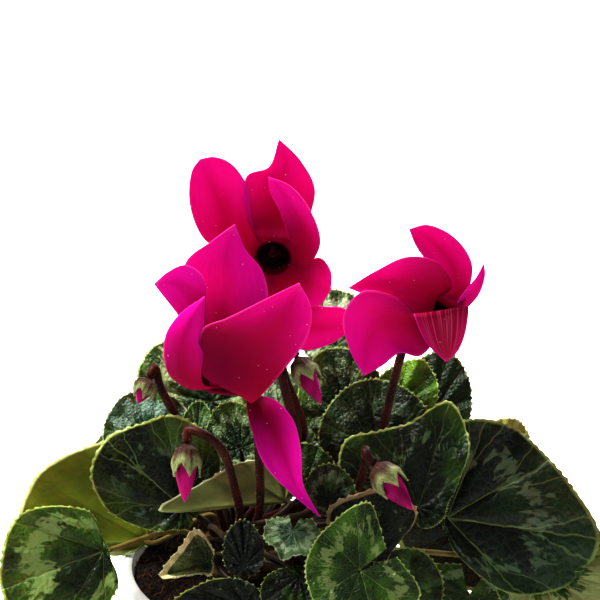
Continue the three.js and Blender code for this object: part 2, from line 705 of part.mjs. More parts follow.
function soil() {
  const [foot, ledge, rim] = potInside(GAP * 1.2);
  const edge = ledge[0] + ((rim[0] - ledge[0]) * (SOIL.edge - ledge[1])) / (rim[1] - ledge[1]);
  const rise = (SOIL.level - SOIL.edge) * 1.6;
  const rows = [0.85, 0.66, 0.44].map((share) => [edge * share, SOIL.edge + rise * (1 - share)]);
  const lumpy = (point, angle, row) => {
    if (row < 3) return point;
    const broad = Math.sin(5 * angle + row * 2) * Math.cos(3 * angle - row);
    const lump = broad + 0.5 * Math.sin(11 * angle + row);
    return point.add(new THREE.Vector3(0, 0, lump * SOIL.roughness));
  };
  const profile = [[0, foot[1]], foot, ledge, [edge, SOIL.edge], ...rows, [0, SOIL.level]];
  const heap = turned(profile, SOIL.sides, lumpy);
  return heap.subtract(tuberShape(GAP + 0.1));
}

// Named meshes
const group = new THREE.Group();

function addNode(name, manifold, color, roughness) {
  const { numProp, vertProperties, triVerts } = manifold.getMesh();
  const geometry = new THREE.BufferGeometry();
  const positions = new Float32Array((vertProperties.length / numProp) * 3);
  for (let k = 0; k < positions.length / 3; k += 1) {
    positions.set(vertProperties.subarray(k * numProp, k * numProp + 3), k * 3);
  }
  geometry.setAttribute('position', new THREE.BufferAttribute(positions, 3));
  geometry.setIndex(new THREE.BufferAttribute(new Uint32Array(triVerts), 1));
  geometry.computeVertexNormals();
  const mesh = new THREE.Mesh(geometry, new THREE.MeshStandardMaterial({ color, roughness }));
  mesh.name = name;
  group.add(mesh);
}

const leafPlaces = leafSockets();
addNode('pot', pot(), 0xf0efec, 0.4);
addNode('soil', soil(), 0x2a1d15, 1);
addNode('tuber', tuber(leafPlaces), 0x4a3426, 0.9);
for (const [name, leaf] of Object.entries(LEAVES)) {
  addNode(name, leafBody({ ...LEAF, ...leaf }, leafPlaces.get(name)), 0x3f6b35, 0.7);
}
for (const [name, bloom] of Object.entries(BLOOMS)) {
  addNode(`${name}_petals`, corolla(bloom), 0xd8007a, 0.6);
  addNode(`${name}_stalk`, bloomStalk(bloom), 0x5b2f24, 0.6);
}
for (const [name, bud] of Object.entries(BUDS)) {
  addNode(`${name}_petals`, budPetals(bud), 0xe5109a, 0.6);
  addNode(`${name}_stalk`, budStalk(bud), 0x6b5a40, 0.6);
}

export default group;
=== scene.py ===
"""Fine leaves, blooms, buds, soil and pot of a potted cyclamen, set in the place of the part's solids"""

import json
import math

import bpy
import numpy as np
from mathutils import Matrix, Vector

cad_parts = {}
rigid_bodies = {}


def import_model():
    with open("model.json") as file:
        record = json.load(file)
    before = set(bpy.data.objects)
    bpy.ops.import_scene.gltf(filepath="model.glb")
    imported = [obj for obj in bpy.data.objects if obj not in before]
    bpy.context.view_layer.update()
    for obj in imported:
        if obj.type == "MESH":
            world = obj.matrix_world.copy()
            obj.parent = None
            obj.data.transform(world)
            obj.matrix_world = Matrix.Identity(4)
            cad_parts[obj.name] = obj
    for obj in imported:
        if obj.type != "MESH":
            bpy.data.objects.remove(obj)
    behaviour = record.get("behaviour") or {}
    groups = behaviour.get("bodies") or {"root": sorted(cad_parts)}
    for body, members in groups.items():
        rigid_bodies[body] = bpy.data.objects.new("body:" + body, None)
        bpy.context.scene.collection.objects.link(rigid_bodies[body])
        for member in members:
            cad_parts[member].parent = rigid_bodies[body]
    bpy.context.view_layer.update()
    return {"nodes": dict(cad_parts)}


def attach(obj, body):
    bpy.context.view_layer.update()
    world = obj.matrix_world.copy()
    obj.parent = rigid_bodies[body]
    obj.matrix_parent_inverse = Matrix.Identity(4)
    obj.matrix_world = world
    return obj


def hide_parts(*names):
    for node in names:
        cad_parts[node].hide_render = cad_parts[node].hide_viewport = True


bl_info = {
    "name": "Potted cyclamen",
    "version": (1, 0, 0),
    "blender": (4, 5, 0),
    "location": "3D View > Sidebar > Cyclamen",
    "description": "Fine leaves, blooms, buds and soil for a potted cyclamen",
    "category": "Object",
}

for thing in list(bpy.data.objects):
    bpy.data.objects.remove(thing)
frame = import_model()

MM = 0.001
SQUARE_CM = 0.01**2

# Pot, soil, tuber and stalks in millimetres, as in the part
POT = {"height": 94, "rim": 53, "foot": 37, "wall": 2, "floor": 3.4, "rim_depth": 14, "step": 2}
DRAIN = {"count": 5, "ring": 24, "radius": 3.6, "depth": 8}
SOIL = {"edge": 90, "level": 96, "outermost": 0.985, "steepness": 1.6, "waves": 12, "lumps": 0.28}
TUBER = {"x": -5, "y": 1, "radius": 20, "crown": 13}
GAP = 0.3  # between the stalks and what they stand in
POLE = 0.01  # radius at the closed ends of turned bodies
SIDES = {"soil": 120, "hole": 32, "leaf_stalk": 12, "stalk": 16, "cup": 48, "bud": 80, "sepals": 70}
PIECES = {"leaf_stalk": 22, "bloom_stalk": 60, "bud_stalk": 50, "bud": 40, "sepals": 15, "heap": 46}
PETALS = 5  # and as many sepals
SEPAL = {"thickness": 0.8, "sharpness": 1.3, "ridge": 0.25, "rib": 0.12, "flare": 3.5, "flare_from": 0.8}
PETIOLE = {"radius": 1.25, "taper": 0.8, "rise": 0.25, "below": 0.9, "behind": 0.6}
SCAPE = {"foot": 1.4, "radius": 1.75}
SOCKET = {"depth": 4, "lift": 3.5, "rings": (11, 14.2, 17.2)}
BLOOM = {"rim": 6.8, "spread": 34, "depth": 9, "flare": 3.2, "half_petal": 38, "end": 0.995}
# Cup of a bloom: reach of the sepals and of their notches as shares of its depth, heights over the mouth
# at which petals start and flare, and the places on a petal whose colours it has outside and inside
CUP = {"calyx": 0.52, "notch": 0.34, "petal_foot": -0.3, "petal_flare": 0.5, "outside": 0.3, "inside": 0.06}
CONE = ((POLE, 1.3), (2.6, 1.5), (2.1, 3.6), (0.7, 6), (0.45, 6.8), (POLE, 7))
# Bud: smoothing as a share of its length, turn of its petals, depth of the grooves and height of the ridges
# between them as shares of its radius, reach of the sepals' notches, and the sepals' distance
BUD = {"smoothing": 0.06, "twist": 4, "groove": 0.84, "ridge": 0.17, "notch": 0.6, "under_sepals": 1.06}
BUD_PROFILE = ((0, 0), (0.62, 0.08), (1, 0.3), (0.86, 0.57), (0.5, 0.8), (0.2, 0.94), (0, 1))

# Blades: swing to each side of the middle in degrees, main veins to each side, height of the puckers as
# a share of the size, and waves of the edge as how often, how much later from leaf to leaf and how high.
# Rings of points crowd towards the edge and start at the stalk's share of the way. Teeth: least number,
# how far they stray from even steps, their share inside the edge, and the share from which a gland sits.
SWING = 170
VEINS = 4.5
PUCKER = 0.026
RUFFLES = ((13, 1, 0.032), (29, 2, 0.0224), (61, 3, 0.0128))
CROWDING = 1.35
INNERMOST = 0.012
TEETH = {"least": 16, "stray": 1.6, "inward": 0.6, "gland": 0.985}
THIN_EDGE = 0.45

CURVE_STEPS = 401  # for the length of a curve
SHARP = math.radians(60)  # least angle of a sharp edge where holes are cut

# Stage in metres: place at which the lights point, their widths and places, and half the floor's width
LIT = Vector((0.018, 0.02, 0.15))
LIGHTS = {
    "Key": (0.4, (-0.6, 0.25, 1.15)),
    "Back": (0.6, (0.45, 0.85, 0.7)),
    "Fill": (0.8, (0.5, -1.1, 0.6)),
}
FLOOR = 30

# The front view in which the plant is described: 600 units wide and high
PITCH = math.radians(25)
DISTANCE = 1000
FOCAL = 2500
MIDDLE = 300
TARGET = np.array([18, 43.6, SOIL["level"] + 93.5])
RIGHT = np.array([1.0, 0, 0])
UP = np.array([0, math.sin(PITCH), math.cos(PITCH)])
AHEAD = np.array([0, math.cos(PITCH), -math.sin(PITCH)])
EYE = TARGET - DISTANCE * AHEAD

# Leaves. seen: where blade and stalk meet, as two places in the view and a depth in millimetres.
# facing: where the blade points in the view, its lean towards the viewer and its turn about itself, in
# degrees. edge: its reach at even steps round that place; without it, the blade is a heart of a length
# and a width. start: the side from which the stalk comes, at a distance of reach.
LEAF = dict(lobes=0.42, taper=0.15, cup=0.1, fold=0, droop=0.1, wave=0.04, waves=5, reach=14)
LEAVES = {
    "leaf_01": dict(
        seen=(103, 551, -26), facing=(200, 14), start=-4, reach=12, edge=(2, 3, 18, 36, 42, 46, 17, 3, 2),
    ),
    "leaf_02": dict(
        seen=(146, 541, 6), facing=(151, -6, 178), cup=0.05,
        edge=(2, 2, 2, 2, 13, 49, 52, 45, 40, 24, 16, 3, 2),
    ),
    "leaf_03": dict(
        seen=(182, 507, -4), facing=(138, 4), cup=0.12,
        edge=(7, 8, 10, 16, 25, 32, 37, 37, 40.5, 38.5, 30, 20, 13.8, 10, 9, 9, 7),
    ),
    "leaf_04": dict(seen=(150, 440, 22), facing=(108, -6), length=21, width=36),
    "leaf_05": dict(seen=(212, 402, 32), facing=(145, -10), length=34, width=44),
    "leaf_06": dict(seen=(240, 448, 9), facing=(108, -10), length=19, width=25, cup=0.2),
    "leaf_07": dict(
        seen=(285, 501, -9), facing=(184.5, 4, 178), cup=0, droop=0, wave=0.01,
        edge=(2, 2, 2, 2, 2, 2, 2, 3, 49, 31, 24.5, 18, 9, 7, 5, 4, 3),
    ),
    "leaf_08": dict(
        seen=(244, 568, -61), facing=(92, 0), length=18, width=15.5, lobes=0.2, start=92, reach=10,
    ),
    "leaf_09": dict(seen=(246, 608, -58), facing=(190, 16), length=34, width=26, lobes=0.22),
    "leaf_10": dict(
        seen=(207, 563, -36), facing=(196, 10), fold=0.4, edge=(2, 6, 14.4, 12.8, 18.8, 5, 5, 3, 2),
    ),
    "leaf_11": dict(seen=(293, 531, -34), facing=(262, 55), length=19, width=22, cup=0.25, wave=0.12),
    "leaf_12": dict(
        seen=(360, 571, -56), facing=(210, 12), cup=0.05, start=220,
        edge=(13, 26, 21, 21, 21, 24, 25.6, 25, 15),
    ),
    "leaf_13": dict(
        seen=(380, 556, -42), facing=(95, 10), wave=0.1, edge=(2, 3, 4, 23, 26.5, 27, 15, 3, 2),
    ),
    "leaf_14": dict(
        seen=(418, 508, -22), facing=(73, -6), cup=0, wave=0.05,
        edge=(6, 8, 9, 10, 11, 12, 18, 33, 43.6, 33.5, 33.5, 38.5, 33.5, 27, 20, 14, 10),
    ),
    "leaf_15": dict(seen=(378, 448, 14), facing=(98, -8), length=28, width=46),
    "leaf_16": dict(seen=(396, 410, 26), facing=(56, -10), length=23, width=26, wave=0.1, reach=26),
    "leaf_17": dict(seen=(430, 418, 36), facing=(76, -8), length=28, width=31),
    "leaf_18": dict(
        seen=(447, 518, -11), facing=(-8, 4), cup=0.04,
        edge=(2, 2, 2.5, 3.5, 5.6, 16.4, 38, 54.5, 60.4, 51, 45.6, 44, 40, 34, 24, 14, 8),
    ),
    "leaf_19": dict(seen=(490, 470, 13), facing=(60, 0, 180), length=23, width=26, reach=4, start=250),
    "leaf_20": dict(seen=(535, 566, -14), facing=(-14, 10), length=38, width=46),
    "leaf_21": dict(
        seen=(470, 528, 8), facing=(237, -4), cup=0.1, start=195,
        edge=(2, 2, 3, 8, 22, 30, 29, 25, 23, 24, 26, 26, 22, 14, 5, 3, 2),
    ),
    "leaf_22": dict(seen=(196, 438, 17), facing=(84, -6), length=15, width=13, fold=0.6),
    "leaf_23": dict(seen=(345, 412, 34), facing=(102, -8), length=27, width=36),
    "leaf_24": dict(seen=(336, 346, 62), facing=(88, -20), length=25, width=30),
    "leaf_25": dict(seen=(330, 500, -34), facing=(96, 0), length=14, width=20),
    "leaf_26": dict(seen=(304, 490, 3), facing=(95, 0), length=19, width=27, lobes=0.15),
    "leaf_27": dict(seen=(300, 576, -53.5), facing=(262, 18), length=22, width=28, lobes=0.15),
    "leaf_28": dict(seen=(468, 596, -8), facing=(256, 16), length=24, width=54, lobes=0.5),
    "leaf_29": dict(seen=(402, 596, -44), facing=(74, 0), length=19, width=30),
    "leaf_30": dict(seen=(206, 458, 46), facing=(116, -54), length=38, width=46),
    "leaf_31": dict(seen=(262, 438, 44), facing=(92, -46), length=40, width=48),
    "leaf_32": dict(seen=(336, 444, 52), facing=(84, -52), length=38, width=46),
    "leaf_33": dict(seen=(430, 450, 48), facing=(40, -60), length=36, width=44),
    "leaf_34": dict(seen=(130, 470, 30), facing=(150, -50), length=30, width=38),
}

# Blooms. mouth: middle of the flower's opening, away from which it faces. Each petal leaves the rim at an
# angle round it. Its two margins run through places in the view and meet at its tip. hollow: how far its
# middle lies behind its margins. tone: how much painted shade deepens its crimson, over the whole petal and
# in its fold. root: where the stalk stands in the crown.
BLOOMS = {
    "bloom_top": dict(
        mouth=(273, 258, 2), facing=(262, 66), root=(-0.6, 6.4),
        stem=(
            (303, 440, 16), (296, 405, 14), (284, 374, 15), (276, 320, 22), (273, 262, 29), (272, 252, 22),
        ),
        petals=(
            dict(rim=168, tip=(200, 159, 10), hollow=2.5, tone=0.1, margins=(
                ((254, 225, 4), (246, 184, 7), (230, 163, 8), (214, 157, 9)),
                ((236, 256, 2), (205, 240, 4), (190, 205, 7), (192, 171, 9)),
            )),
            dict(rim=97, tip=(279, 139, 14), hollow=2, tone=0.15, margins=(
                ((305, 225, 8), (315, 190, 11), (300, 160, 13)),
                ((246, 215, 6), (247, 176, 9), (269, 167, 12)),
            )),
            dict(rim=25, tip=(268, 177, -1), hollow=1.5, tone=0.25, margins=(
                ((306, 268, -2), (320, 244, -4), (311, 212, -4), (290, 186, -3)),
                ((289, 238, -1), (280, 212, 0), (270, 192, 0)),
            )),
            dict(rim=313, tip=(331, 290, 3), hollow=1, tone=0.45, margins=(
                ((279, 291, 1), (300, 304, 2), (318, 306, 3)),
                ((304, 264, -1), (320, 258, 0), (331, 272, 1)),
            )),
            dict(rim=241, tip=(356, 326, 18), hollow=1, tone=0.45, margins=(
                ((262, 296, 8), (298, 349, 13), (330, 344, 16)),
                ((286, 292, 8), (320, 306, 12), (345, 309, 16)),
            )),
        ),
    ),
    "bloom_left": dict(
        mouth=(228, 390, -24), facing=(266, 10), root=(2.3, -7.8),
        stem=((259, 512, -15), (259, 455, -19), (255, 395, -16), (248, 350, -17), (238, 341, -20)),
        petals=(
            dict(rim=60, tip=(299, 283, -38), hollow=2.5, tone=0.9, margins=(
                ((252, 403, -36), (284, 370, -40), (308, 335, -42), (311, 308, -40)),
                ((203, 375, -34), (202, 330, -36), (228, 318, -38), (262, 301, -38)),
            )),
            dict(rim=140, tip=(205, 296, -31), hollow=-2, tone=0.45, margins=(
                ((204, 385, -34), (203, 350, -35), (204, 320, -34)),
                ((188, 388, -30), (169, 374, -31), (165, 338, -32), (178, 316, -32)),
            )),
            dict(rim=205, tip=(154, 284, -24), hollow=1, tone=0.5, margins=(
                ((196, 375, -24), (190, 335, -24), (178, 315, -24), (164, 297, -24)),
                ((202, 362, -17), (206, 310, -22), (204, 278, -25), (186, 265, -24), (168, 272, -24)),
            )),
            dict(rim=285, tip=(235, 224, -7), hollow=2, tone=0.35, margins=(
                ((198, 362, -6), (184, 300, -7), (186, 262, -8), (212, 241, -8)),
                ((252, 362, -5), (268, 300, -6), (262, 270, -7), (246, 250, -7)),
            )),
            dict(rim=0, tip=(321, 518, -40), hollow=2, tone=0.15, margins=(
                ((275, 400, -30), (293, 420, -34), (301, 452, -37), (303, 484, -39)),
                ((247, 405, -32), (252, 430, -36), (264, 464, -38), (292, 494, -39)),
            )),
        ),
    ),
    "bloom_right": dict(
        mouth=(438, 316, 3), facing=(225, 40), root=(6.4, 2.6),
        stem=(
            (305, 504, -6), (350, 490, -1), (372, 455, 2), (383, 428, 4), (392, 390, 3), (401, 355, 4),
            (412, 320, 14), (436, 290, 22), (452, 290, 20),
        ),
        petals=(
            dict(rim=100, tip=(409, 229, 6), hollow=2, tone=0, margins=(
                ((466, 298, 2), (472, 265, 4), (456, 239, 6), (428, 225, 6)),
                ((448, 290, 1), (432, 268, 3), (416, 246, 5)),
            )),
            dict(rim=165, tip=(348, 288, -3), hollow=2, tone=0.5, margins=(
                ((452, 288, -2), (436, 262, -4), (408, 257, -5), (376, 271, -4)),
                ((430, 322, -4), (402, 310, -6), (376, 299, -6)),
            )),
            dict(rim=237, tip=(364, 376, -14), hollow=2.5, tone=0.5, margins=(
                ((420, 318, -6), (395, 297, -9), (362, 292, -11), (344, 315, -12), (349, 348, -13)),
                ((436, 338, -4), (420, 356, -6), (400, 353, -9), (382, 366, -12)),
            )),
            dict(rim=309, tip=(446, 362, -8), hollow=-2.5, tone=0.8, ribbed=True, margins=(
                ((414, 315, -11), (426, 342, -10)),
                ((468, 306, -5), (465, 333, -6), (457, 352, -8)),
            )),
            dict(rim=21, tip=(484, 263, 7), hollow=1, tone=0, margins=(
                ((462, 314, 0), (478, 296, 3), (485, 276, 5)),
                ((456, 307, -1), (466, 290, 2), (476, 278, 4)),
            )),
        ),
    ),
}

# Buds. seen: where the stalk meets the bud. sepals: how far down the bud its sepals reach.
BUDS = {
    "bud_left": dict(
        seen=(149, 379, 6), facing=(246, 10), length=10.5, radius=3.7, sepals=0.8, root=(-6.6, 0.4),
        stem=((194, 441, 9), (181, 424, 12), (168, 402, 12), (160, 387, 11)),
    ),
    "bud_front": dict(
        seen=(187, 444, -30), facing=(268, 6), length=22, radius=4.5, sepals=0.6, root=(-2.3, -7.8),
        stem=((240, 514, -15), (233, 482, -24), (222, 450, -28), (205, 435, -30)),
    ),
    "bud_middle": dict(
        seen=(297, 358, -8), facing=(298, 10), length=20, radius=4.2, sepals=0.6, root=(0.8, -0.8),
        stem=((297, 440, -5), (289, 405, -8), (282, 372, -10), (285, 352, -9)),
    ),
    "bud_right": dict(
        seen=(375, 465, -38), facing=(310, 10), length=22, radius=5, sepals=0.6, root=(6.6, -3.4),
        stem=((292, 520, -13), (330, 503, -23), (357, 488, -27), (364, 466, -31), (366, 450, -34)),
    ),
}

# Looks of the leaves: colours of the face, its lit parts, its marbling, its margin and its underside,
# share of marbling, strength of the veins and where the margin's colour starts
LOOK = dict(
    face="182a12", light="3a5c16", silver="6f8458", margin="8da348", under="4e5c1c",
    marbling=0.45, veins=0.45, rim=0.97,
)
# Leaves in shade, leaf_08, leaf_09, leaf_13, leaf_17, leaf_21, leaf_27 and leaf_29, have nearly black
# faces, little marbling and faint veins: painted shade over the leaves' own dark green
LOOKS = {
    "leaf_01": dict(
        face="15280f", marbling=0.62, veins=0.6, light="4a7420", margin="b4cc60", silver="88a45c",
    ),
    "leaf_02": dict(face="36440a", under="647418", margin="c3cc84", light="4a560e"),
    "leaf_03": dict(
        face="0d180b", marbling=0.33, veins=0.8, light="3c5a10", silver="4e664c", margin="a3b45a",
    ),
    "leaf_04": dict(face="2f5a44", marbling=0.8, margin="c8d7ae", silver="8fb09a"),
    "leaf_05": dict(face="1c3a1c", marbling=0.8, margin="b4cc84", silver="9ab078", veins=0.6),
    "leaf_06": dict(face="1a3016", marbling=0.6, silver="7f9a6a"),
    "leaf_07": dict(face="5a6238", under="80864c", margin="b9bd8d", light="6c7438"),
    "leaf_08": dict(face="0a110a", marbling=0.05, veins=0.15, light="10190c", margin="4f6a32"),
    "leaf_09": dict(face="0e150e", marbling=0.1, veins=0.2, light="182410"),
    "leaf_10": dict(face="2c3c1c", marbling=0.3, margin="d8cc96", rim=0.82, under="c2b888", light="6c7a40"),
    "leaf_11": dict(face="2c4c2a", marbling=0.6, margin="c9d0a4", silver="8fa780", light="5c7c40"),
    "leaf_12": dict(
        face="213c12", marbling=0.5, veins=1, margin="b9cf78", light="4f7a1e", silver="8a9f5c",
    ),
    "leaf_13": dict(face="0e150b", marbling=0.1, margin="b09870", veins=0.2, light="17230e", rim=0.93),
    "leaf_14": dict(
        face="121f0f", marbling=0.3, margin="a9ba62", veins=0.4, light="365a14", silver="5c7450",
    ),
    "leaf_15": dict(face="111c0f", marbling=0.42, silver="506248", margin="7f9048", light="22380f"),
    "leaf_16": dict(face="35590f", marbling=0.3, margin="a3c24c", light="6a9a1c"),
    "leaf_17": dict(face="0b1a06", marbling=0, veins=0.2, light="16300a", margin="6a8038"),
    "leaf_18": dict(
        face="0a160a", marbling=0.4, veins=0.7, margin="7c9448", light="1c3818", silver="566e50",
    ),
    "leaf_19": dict(face="8a9248", under="a9b060", margin="d2d498"),
    "leaf_20": dict(face="25491a", marbling=0.8, margin="a9c068", veins=0.7, silver="93a56a"),
    "leaf_21": dict(face="121b12", marbling=0.1, veins=0.2, light="1e2e16", margin="a3bf6a", rim=0.93),
    "leaf_22": dict(face="4f7a48", marbling=0.6, margin="b3c97a"),
    "leaf_23": dict(face="1a2c14", marbling=0.4),
    "leaf_24": dict(face="4c6840", marbling=0.85, silver="b0c49c", margin="c3d0a4"),
    "leaf_25": dict(face="121d10", marbling=0.55, silver="5e7250"),
    "leaf_26": dict(face="101a0e", marbling=0.3, silver="56684c"),
    "leaf_27": dict(face="0c120c", marbling=0.1, veins=0.2),
    "leaf_28": dict(face="1e3612", marbling=0.6, margin="b5c578", light="4f6e1a"),
    "leaf_29": dict(face="0e150e", marbling=0.15, veins=0.2),
}

PALE_STALKS = ("leaf_01", "leaf_02", "leaf_10", "leaf_18", "leaf_20")
LEAF_COLOURS = ("face", "light", "silver", "margin", "under")
LEAF_SHARES = ("marbling", "veins", "rim")
PETAL_COLOURS = ("mouth", "throat", "middle", "margin", "outside", "rib", "edge")


def seen(place):
    """The point on the ray through a place in the view, at its depth"""
    across, down, behind = place
    ray = AHEAD + RIGHT * (across - MIDDLE) / FOCAL + UP * (MIDDLE - down) / FOCAL
    return EYE + ray * ((behind - EYE[1]) / ray[1])


def unit(vector):
    """A vector of length one"""
    return vector / np.linalg.norm(vector)


def axes_of(heading, lean, turn=0):
    """Axis, normal and side of a blade or a flower from the degrees of its facing"""
    heading, lean, turn = (math.radians(v) for v in (heading, lean, turn))
    axis = (RIGHT * math.cos(heading) + UP * math.sin(heading)) * math.cos(lean) - AHEAD * math.sin(lean)
    normal = unit(-AHEAD - axis * np.dot(-AHEAD, axis))
    normal = normal * math.cos(turn) + np.cross(axis, normal) * math.sin(turn)
    return axis, normal, np.cross(normal, axis)


def along(row, share):
    """Values of a row of numbers at shares of its length, along a smooth curve through them"""
    row = np.asarray(row, float)
    place = np.asarray(share, float) * (len(row) - 1)
    k = np.minimum(place.astype(int), len(row) - 2)
    a, b = row[k], row[k + 1]
    before = np.where(k > 0, row[np.maximum(k - 1, 0)], a)
    after = np.where(k < len(row) - 2, row[np.minimum(k + 2, len(row) - 1)], b)
    t = place - k
    bend = t * (2 * before - 5 * a + 4 * b - after + t * (3 * (a - b) + after - before))
    return a + 0.5 * t * (b - before + bend)


def spline(points, shares):
    """Points at shares of the length of a centripetal curve through a row of points"""
    points = np.array(points, float)
    points = np.vstack([2 * points[0] - points[1], points, 2 * points[-1] - points[-2]])
    count = len(points) - 3
    gaps = np.sqrt(np.linalg.norm(np.diff(points, axis=0), axis=1))

    def at(t):
        place = np.clip(t, 0, 1) * count
        k = np.minimum(place.astype(int), count - 1)
        w = (place - k)[:, None]
        a, b, c, d = points[k], points[k + 1], points[k + 2], points[k + 3]
        g0, g1, g2 = gaps[k][:, None], gaps[k + 1][:, None], gaps[k + 2][:, None]
        start = ((b - a) / g0 - (c - a) / (g0 + g1) + (c - b) / g1) * g1
        end = ((c - b) / g1 - (d - b) / (g1 + g2) + (d - c) / g2) * g1
        return b + w * (start + w * (3 * (c - b) - 2 * start - end + w * (2 * (b - c) + start + end)))

    steps = np.linspace(0, 1, CURVE_STEPS)
    lengths = np.concatenate([[0], np.cumsum(np.linalg.norm(np.diff(at(steps), axis=0), axis=1))])
    return at(np.interp(np.asarray(shares) * lengths[-1], lengths, steps))


def outline(leaf, angle):
    """Reach of a blade's edge along its axis and to its side, at angles from -1 to 1 round it"""
    if "edge" in leaf:
        swings = np.radians(np.linspace(-SWING, SWING, len(leaf["edge"])))
        far = np.maximum(1.5, np.array(leaf["edge"], float))
        share = (angle + 1) / 2
        return along(far * np.cos(swings), share), along(far * np.sin(swings), share)
    swing = angle * math.radians(SWING)
    rear = leaf["length"] * leaf["lobes"]
    half = leaf["width"] / 2 * (1 - leaf["taper"] * np.cos(swing))
    middle, reach = (leaf["length"] - rear) / 2, (leaf["length"] + rear) / 2
    return middle + reach * np.cos(swing), half * np.sin(swing)


def on_blade(leaf, angle, share):
    """Places on a blade, and their x and y as shares of its size"""
    size = float(outline(leaf, np.array(0.0))[0])
    x, y = (length * share for length in outline(leaf, angle))
    far = np.hypot(x, y) / size
    lift = (
        leaf["cup"] * far**2
        + leaf["fold"] * (np.hypot(y / size, 0.1) - 0.1)
        - leaf["droop"] * np.maximum(0, x / size) ** 2
        + leaf["wave"] * far**2 * np.sin(leaf["waves"] * angle * math.pi)
    )
    axis, normal, side = axes_of(*leaf["facing"])
    pucker = np.abs(np.sin(VEINS * math.pi * angle)) * np.sin(math.pi * np.minimum(share, 1))
    phase = leaf["seen"][0]
    ruffle = share**4 * sum(high * np.sin(often * angle + later * phase) for often, later, high in RUFFLES)
    lift = (lift + PUCKER * pucker + ruffle) * size
    places = seen(leaf["seen"]) + axis * x[..., None] + side * y[..., None] + normal * lift[..., None]
    return places, x / size, y / size


def grid(rows, columns, closed=False):
    """Quads of a grid of points numbered row by row"""
    width = columns if closed else columns - 1
    i, j = np.meshgrid(np.arange(rows - 1), np.arange(width), indexing="ij")
    after = (j + 1) % columns
    quads = [i * columns + j, i * columns + after, (i + 1) * columns + after, (i + 1) * columns + j]
    return np.stack(quads, -1).reshape(-1, 4).tolist()


def normals_of(places):
    """Unit normals of a grid of points"""
    normal = np.cross(np.gradient(places, axis=0), np.gradient(places, axis=1))
    return normal / np.maximum(np.linalg.norm(normal, axis=-1, keepdims=True), 1e-9)


class Shape:
    """Points, faces, attributes and material numbers of a piece, in millimetres"""

    def __init__(self):
        self.points, self.faces, self.slots = [], [], []
        self.values = {}
        self.count = 0

    def add(self, points, faces, slots=0, **values):
        """Adds faces whose material numbers are one for all, or one for each"""
        points = np.asarray(points, float).reshape(-1, 3)
        for name in dict.fromkeys([*self.values, *values]):
            before = self.values.get(name, np.zeros(self.count))
            more = np.zeros(len(points)) + np.ravel(values.get(name, 0))
            self.values[name] = np.concatenate([before, more])
        self.points.append(points)
        self.faces += [[k + self.count for k in face] for face in faces]
        self.slots += [slots] * len(faces) if np.isscalar(slots) else slots
        self.count += len(points)

    def sheet(self, places, thickness, flip=False, **values):
        """A grid of points with both faces and the wall round them; back tells the faces apart"""
        rows, columns = places.shape[:2]
        half = normals_of(places) * thickness[..., None] / 2
        count = rows * columns
        front = [face[::-1] for face in grid(rows, columns)]
        back = [[k + count for k in reversed(face)] for face in front]
        ring = list(range(columns))
        ring += [row * columns + columns - 1 for row in range(1, rows)]
        ring += [(rows - 1) * columns + k for k in range(columns - 2, -1, -1)]
        ring += [row * columns for row in range(rows - 2, 0, -1)]
        wall = [[a, b, b + count, a + count] for a, b in zip(ring, ring[1:] + ring[:1])]
        values = {name: np.tile(np.ravel(value), 2) for name, value in values.items()}
        values["back"] = np.repeat([1.0, 0.0] if flip else [0.0, 1.0], count)
        both = np.concatenate([(places + half).reshape(-1, 3), (places - half).reshape(-1, 3)])
        self.add(both, front + back + wall, **values)

    def tube(self, centres, radius, sides, slot):
        """A round rod through a row of points with rounded ends"""
        ways = np.gradient(centres, axis=0)
        ways /= np.linalg.norm(ways, axis=1, keepdims=True)
        across = unit(np.cross([0.13, 0.31, 0.94], ways[0]))
        turns = np.arange(sides)[:, None] * 2 * math.pi / sides
        rings = []
        for centre, way, r in zip(centres, ways, radius):
            across = unit(across - way * np.dot(across, way))
            rings.append(centre + r * (np.cos(turns) * across + np.sin(turns) * np.cross(way, across)))
        ends = [centres[:1] - ways[0] * radius[0] * 0.3, centres[-1:] + ways[-1] * radius[-1] * 0.3]
        last = (len(centres) - 1) * sides
        foot, top = last + sides, last + sides + 1
        faces = grid(len(centres), sides, closed=True)
        for k in range(sides):
            after = (k + 1) % sides
            faces += [[foot, after, k], [top, last + k, last + after]]
        self.add(np.concatenate(rings + ends), faces, slot)

    def turned(self, profile, sides, place=None, slots=0, bend=None, **values):
        """
        A body of rings round an axis. place holds its foot and its axis, normal and side. slots is a
        material number, or one for each row of faces. bend changes the rings' radii and heights.
        """
        turns = np.arange(sides) * 2 * math.pi / sides
        radius, height = (np.repeat(column[:, None], sides, 1) for column in np.array(profile, float).T)
        if bend:
            radius, height = bend(radius, height, turns[None, :])
        points = np.stack([radius * np.cos(turns), radius * np.sin(turns), height], -1).reshape(-1, 3)
        if place:
            foot, (axis, normal, side) = place
            points = foot + points[:, :1] * side + points[:, 1:2] * normal + points[:, 2:] * axis
        faces = grid(len(profile), sides, closed=True)
        ends = [row for row in (0, -1) if radius[row].max() < 2 * POLE]
        if not np.isscalar(slots):
            slots = [slot for slot in slots for _ in range(sides)] + [slots[end] for end in ends]
        last = len(points) - sides
        faces += [[*range(last, len(points))] if end else [*range(sides)][::-1] for end in ends]
        turn = np.tile(np.abs(turns / math.pi - 1), len(profile))
        self.add(points, faces, slots, turn=turn, **values)

    def build(self, name, materials):
        """The piece as a smooth object at the origin, in metres"""
        mesh = bpy.data.meshes.new(name)
        mesh.from_pydata((np.concatenate(self.points) * MM).tolist(), [], self.faces)
        for key, value in self.values.items():
            layer = mesh.attributes.new(key, "FLOAT", "POINT")
            layer.data.foreach_set("value", value.astype(np.float32))
        for material in materials:
            mesh.materials.append(material)
        mesh.polygons.foreach_set("material_index", self.slots)
        mesh.shade_smooth()
        mesh.validate()
        mesh.update()
        piece = bpy.data.objects.new(name, mesh)
        bpy.context.scene.collection.objects.link(piece)
        return piece


